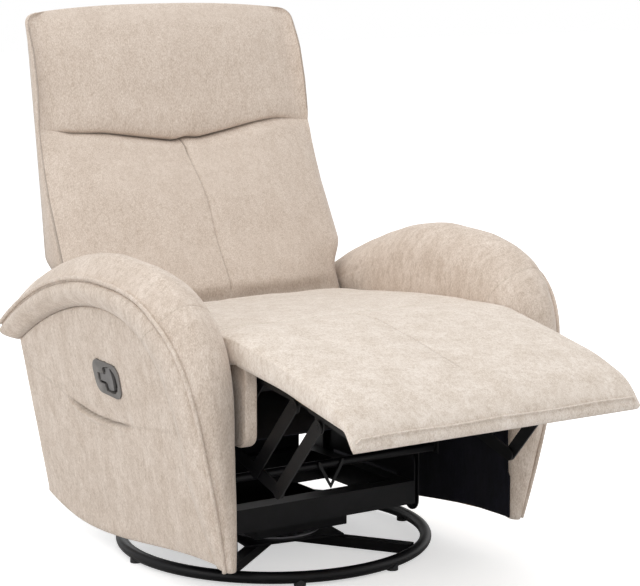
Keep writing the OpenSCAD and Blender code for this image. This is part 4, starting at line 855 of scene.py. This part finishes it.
# Pleats that run up from the crease, as places across and depths
PLEATS = ((-60, 1.6), (-14, 1.2), (24, 2.6), (62, 1.8), (118, 1.0), (-150, 1.2))
SIDE_SEAM_SHARE, TOP_ROLL, REAR_GAP = 0.05, 36, 14
LUMBAR_PUSH, HANG, HANG_LENGTH = 15, 12, 40


def rear_y(z):
    return REAR_Y + (z - REAR_Z) * LEAN


def edge_y(z):
    return EDGE_Y + (z - CREASE_Z) * np.where(z < CREASE_Z, LUMBAR_LEAN, HEAD_LEAN)


def back_half(z):
    """Half the back's width: narrow between the arms, then the wings, then in to the top."""
    neck, wings_top = HALF - 2, WING_Z + WING_H
    wing = lerp(neck, LOW_HALF, smooth((z - WING_Z) / WING_H))
    head = lerp(LOW_HALF, TOP_HALF, clamp01((z - WING_Z - WING_H) / (BACK_H - WING_Z - WING_H)))
    return np.where(z < WING_Z, neck, np.where(z < wings_top, wing, head))


def crease_height(x):
    return sum(np.interp(x + o, CREASE_X, CREASE_AT) for o in (-9, -4, 0, 4, 9)) / 5


def build_back():
    """Both cushions of the back: the head cushion's lower edge hangs a little over the crease."""
    zs = fine(BACK_LOW, BACK_H, 5, (CREASE_Z,), (0.8, 1.8, 3.2, 5, 7.5, 10, 13, 17))
    zs = np.unique(np.concatenate([zs, BACK_H - np.array([0.4, 1.2, 2.5, 4.2, 6.5, 9, 12, 16, 20])]))
    s = np.sin(np.linspace(-np.pi / 2, np.pi / 2, 120))
    s = np.unique(np.round(np.concatenate([s, np.array([-6, -3.5, -2, -1, 0, 1, 2, 3.5, 6]) / 300]), 5))
    z, a = spread(zs, s)
    r_low = clamp01((z - BACK_LOW) / (CREASE_Z - BACK_LOW))
    r_high = clamp01((z - CREASE_Z) / (BACK_H - CREASE_Z))
    lumbar = 0.3 + 0.7 * np.sin(np.pi * (0.12 + 0.88 * r_low)).clip(0) ** 0.5
    head = 0.3 + 0.7 * np.sin(np.pi * r_high).clip(0) ** 0.5
    swell = np.where(z < CREASE_Z, lumbar, head)
    half = back_half(z) - BACK_CORNER * (1 - round_in(clamp01((BACK_H - z) / BACK_CORNER)))
    x = half * a
    full = (1 - np.abs(a) ** 2.5) * swell * np.where(z < CREASE_Z, LUMBAR, HEAD)
    # The top rolls over to the rear, and the lumbar cushion is fullest a little above the seat
    y = lerp(edge_y(z) - full, rear_y(BACK_H) - REAR_GAP, 1 - round_in(clamp01((BACK_H - z) / TOP_ROLL)))
    y = y - LUMBAR_PUSH * smooth((575 - z) / 110) * smooth((z - 440) / 36) * (1 - np.abs(a) ** 4)
    # The front wraps round to the seam at each side
    seam_y = np.interp(zs, EDGE_SEAM_Z, EDGE_SEAM_Y)[:, None]
    wrap = clamp01((np.abs(a) - 0.9) / 0.1)
    y = lerp(y, np.minimum(seam_y, rear_y(z) - REAR_GAP), wrap ** 2.2)
    drop = BACK_ARCH * np.abs(a) ** 2.5 * r_high ** 4
    shift = (crease_height(x) - CREASE_Z) * clamp01(1 - np.abs(z - CREASE_Z) / 150) ** 1.2
    zz = z + shift - drop
    # Crease: the lumbar cushion rolls into it and the head cushion hangs over it. It fades to both sides
    d = z - CREASE_Z
    reach = np.where(a < 0, (1 - 0.35 * smooth((-a - 0.3) / 0.5)) * (1 - smooth((-a - 0.79) / 0.12)),
                     1 - 0.3 * smooth((a - 0.2) / 0.4) - 0.5 * smooth((a - 0.65) / 0.3))
    tuck = np.exp(-np.abs(d) / np.where(d < 0, 4.5, 7)) * reach
    bulge = hump(d - 24, 24) * smooth(d / 12) * reach
    top_roll = hump(d + 20, 15) * reach
    zz = zz - HANG * np.sin(np.pi * clamp01(d / HANG_LENGTH)) * reach * (d > 0)
    y = y + 12 * tuck - 8 * bulge - 4 * top_roll
    pleat = sum(depth * hump(x - at, 2.2) for at, depth in PLEATS)
    y = y + pleat * smooth(d / 5) * np.exp(-np.maximum(d, 0) / 26) * reach
    folds = wobble(np.stack([x, 0 * x, 0 * x + 0.1], -1), 0.035, 51)
    folds = folds * np.exp(-np.abs(d) / 30) * (1 - tuck) * reach
    # Centre seam of the lumbar cushion, with a tuck where it meets the crease
    seam_x = x - 1.5 * np.sin(z / 31)
    seam_on = smooth((z - 452) / 14) * smooth((CREASE_Z + 2 - z) / 6)
    seam_line = hump(seam_x, 1.7) * seam_on
    deeper = 1 + 0.7 * smooth((z - 690) / 70)
    seam_pull = hump(seam_x, 22) * seam_on * deeper
    wrinkles = 0.5 * np.sin(z * 0.30 + 2.2 * np.sin(z * 0.047)) * np.exp(-(np.abs(x) / 15)) * seam_on
    y = y + 2.2 * folds + 2.4 * seam_line * deeper + 2.6 * seam_pull + wrinkles
    p = np.stack([x, y, zz], -1)
    y = y + (2.0 * wobble(p, 0.007, 52) + 0.8 * wobble(p, 0.022, 53)) * (1 - np.abs(a) ** 8)
    front = np.stack([x, y, zz], -1)
    back = np.stack([(half - 8) * a, rear_y(zz) - 4.4, zz - 10 * (z >= BACK_H - 0.01)], -1)
    # Painted shade in the crease and along the centre seam
    shade = np.maximum(0.5 * hump(d, 1.8) * reach, (0.32 + 0.45 * smooth((z - 715) / 45)) * seam_line)
    # Sides: drawn in at the seam next to the front, and full behind it
    edge = rim(*z.shape)
    # Painted shade along the side seams, fading out at the top
    seam_shade = np.array([0 if r == len(zs) - 1 else 0.85 * clamp01((BACK_H - 22 - zs[r]) / 12)
                           for r, c in edge])
    layers, shades = [], [shade, np.zeros(z.size)]
    for share in (SIDE_SEAM_SHARE, 0.16, 0.36, 0.6, 0.82):
        layer = front + (back - front) * share
        at_seam = share == SIDE_SEAM_SHARE
        puff = -1.8 if at_seam else 4.5 * math.sin(math.pi * min(1, share * 1.15))
        layer[:, 0, 0] -= puff
        layer[:, -1, 0] += puff
        layer[-1, :, 2] += 5 * math.sin(math.pi * share)
        layers.append(layer)
        shades.append(seam_shade * at_seam)
    obj = cushion("back_padded_cushion", front, back, layers, shades)
    # The back's copy of the cover, its ground painted a touch lighter
    return finish_soft(obj, beige_back_painted_light, "back", ("back_cushion",))


def build_back_cover():
    """Fabric panel over the rear of the back, hemmed at its lower end, hanging below the frame."""
    top_z, low_z = BACK_H - 24, BACK_LOW - 127
    zs = fine(low_z, top_z, 9)
    z, a = spread(zs, np.sort(np.sin(np.linspace(-np.pi / 2, np.pi / 2, 60))))
    x = (back_half(z) - 7 - 6 * clamp01((z - WING_Z) / 500)) * a
    zz = z - BACK_ARCH * np.abs(a) ** 2.5 * clamp01((z - top_z + 60) / 60)
    round_edge = np.sqrt(clamp01(1 - np.abs(a) ** 10)) * round_in(clamp01((top_z - z) / 12))
    front = np.stack([x, rear_y(zz) - 3.6, zz], -1)
    loose = np.abs(wobble(front * np.array([1, 1, 0.3]), 0.02, 62)) * smooth((440 - z) / 120)
    hem = hump(z - low_z - 18, 1.6)
    y = rear_y(zz) - 3.0 + 5.5 * round_edge
    y = y + 1.8 * wobble(front, 0.006, 61) * round_edge + 1.3 * loose
    back = np.stack([x, y - 1.0 * hem, zz], -1)
    # Painted shade along the hem
    obj = closed_grid("back_rear_panel", back, front, 0.5 * hem)
    # The back's copy of the cover, its ground painted a touch lighter
    return finish_soft(obj, beige_back_painted_light, "back", ("back_cover",))


build_back()
build_back_cover()

# Floor: white for the camera, with the object's shadow left on it
bpy.ops.mesh.primitive_plane_add(size=30, location=(0, 0, -0.0005))
floor = bpy.context.object
floor.name = "floor"
floor_white = bpy.data.materials.new("floor_white")
tree = Tree(floor_white)
shader = tree.nodes["Principled BSDF"].inputs
shader["Base Color"].default_value = (0.84, 0.84, 0.84, 1)
shader["Roughness"].default_value = 0.95
shader["Specular IOR Level"].default_value = 0.1
shader["Emission Color"].default_value = (1, 1, 1, 1)
rays = tree.nodes.new("ShaderNodeLightPath").outputs
tree.set(shader["Emission Strength"], tree.maths("MULTIPLY", rays["Is Camera Ray"], 0.54))
floor.data.materials.append(floor_white)

# World: dimmer as a light than it looks to the camera and in reflections
WORLD_LIGHT, WORLD_SEEN = 0.64, 1.0
world = bpy.data.worlds.new("studio")
tree = Tree(world)
backdrop = tree.nodes["Background"].inputs
backdrop["Color"].default_value = (1, 1, 1, 1)
rays = tree.nodes.new("ShaderNodeLightPath").outputs
seen = tree.maths("MAXIMUM", rays["Is Glossy Ray"], rays["Is Transmission Ray"])
seen = tree.maths("MAXIMUM", rays["Is Camera Ray"], seen)
extra = tree.maths("MULTIPLY", seen, WORLD_SEEN - WORLD_LIGHT)
tree.set(backdrop["Strength"], tree.maths("ADD", extra, WORLD_LIGHT))
bpy.context.scene.world = world
bpy.context.scene.view_settings.view_transform = "Standard"


def area(name, where, aim_z, size, watts, colour=(1, 1, 1)):
    """A square lamp that looks at the object's axis at a height."""
    data = bpy.data.lights.new(name, "AREA")
    data.size = size
    data.energy = watts
    data.color = colour
    lamp = bpy.data.objects.new(name, data)
    lamp.location = where
    lamp.rotation_euler = (Vector((0, 0, aim_z)) - Vector(where)).to_track_quat("-Z", "Y").to_euler()
    bpy.context.scene.collection.objects.link(lamp)


area("key", (-2.3, -2.2, 3.5), 0.4, 2.6, 40, (1, 0.985, 0.965))
area("side", (-3.4, -0.5, 1.7), 0.4, 2.4, 24)
area("top", (-0.2, -0.1, 4.2), 0.4, 2.4, 34)
area("fill", (3.2, -1.8, 1.8), 0.5, 2.8, 17)
area("rim", (0.6, 2.8, 2.6), 0.6, 2.0, 24)
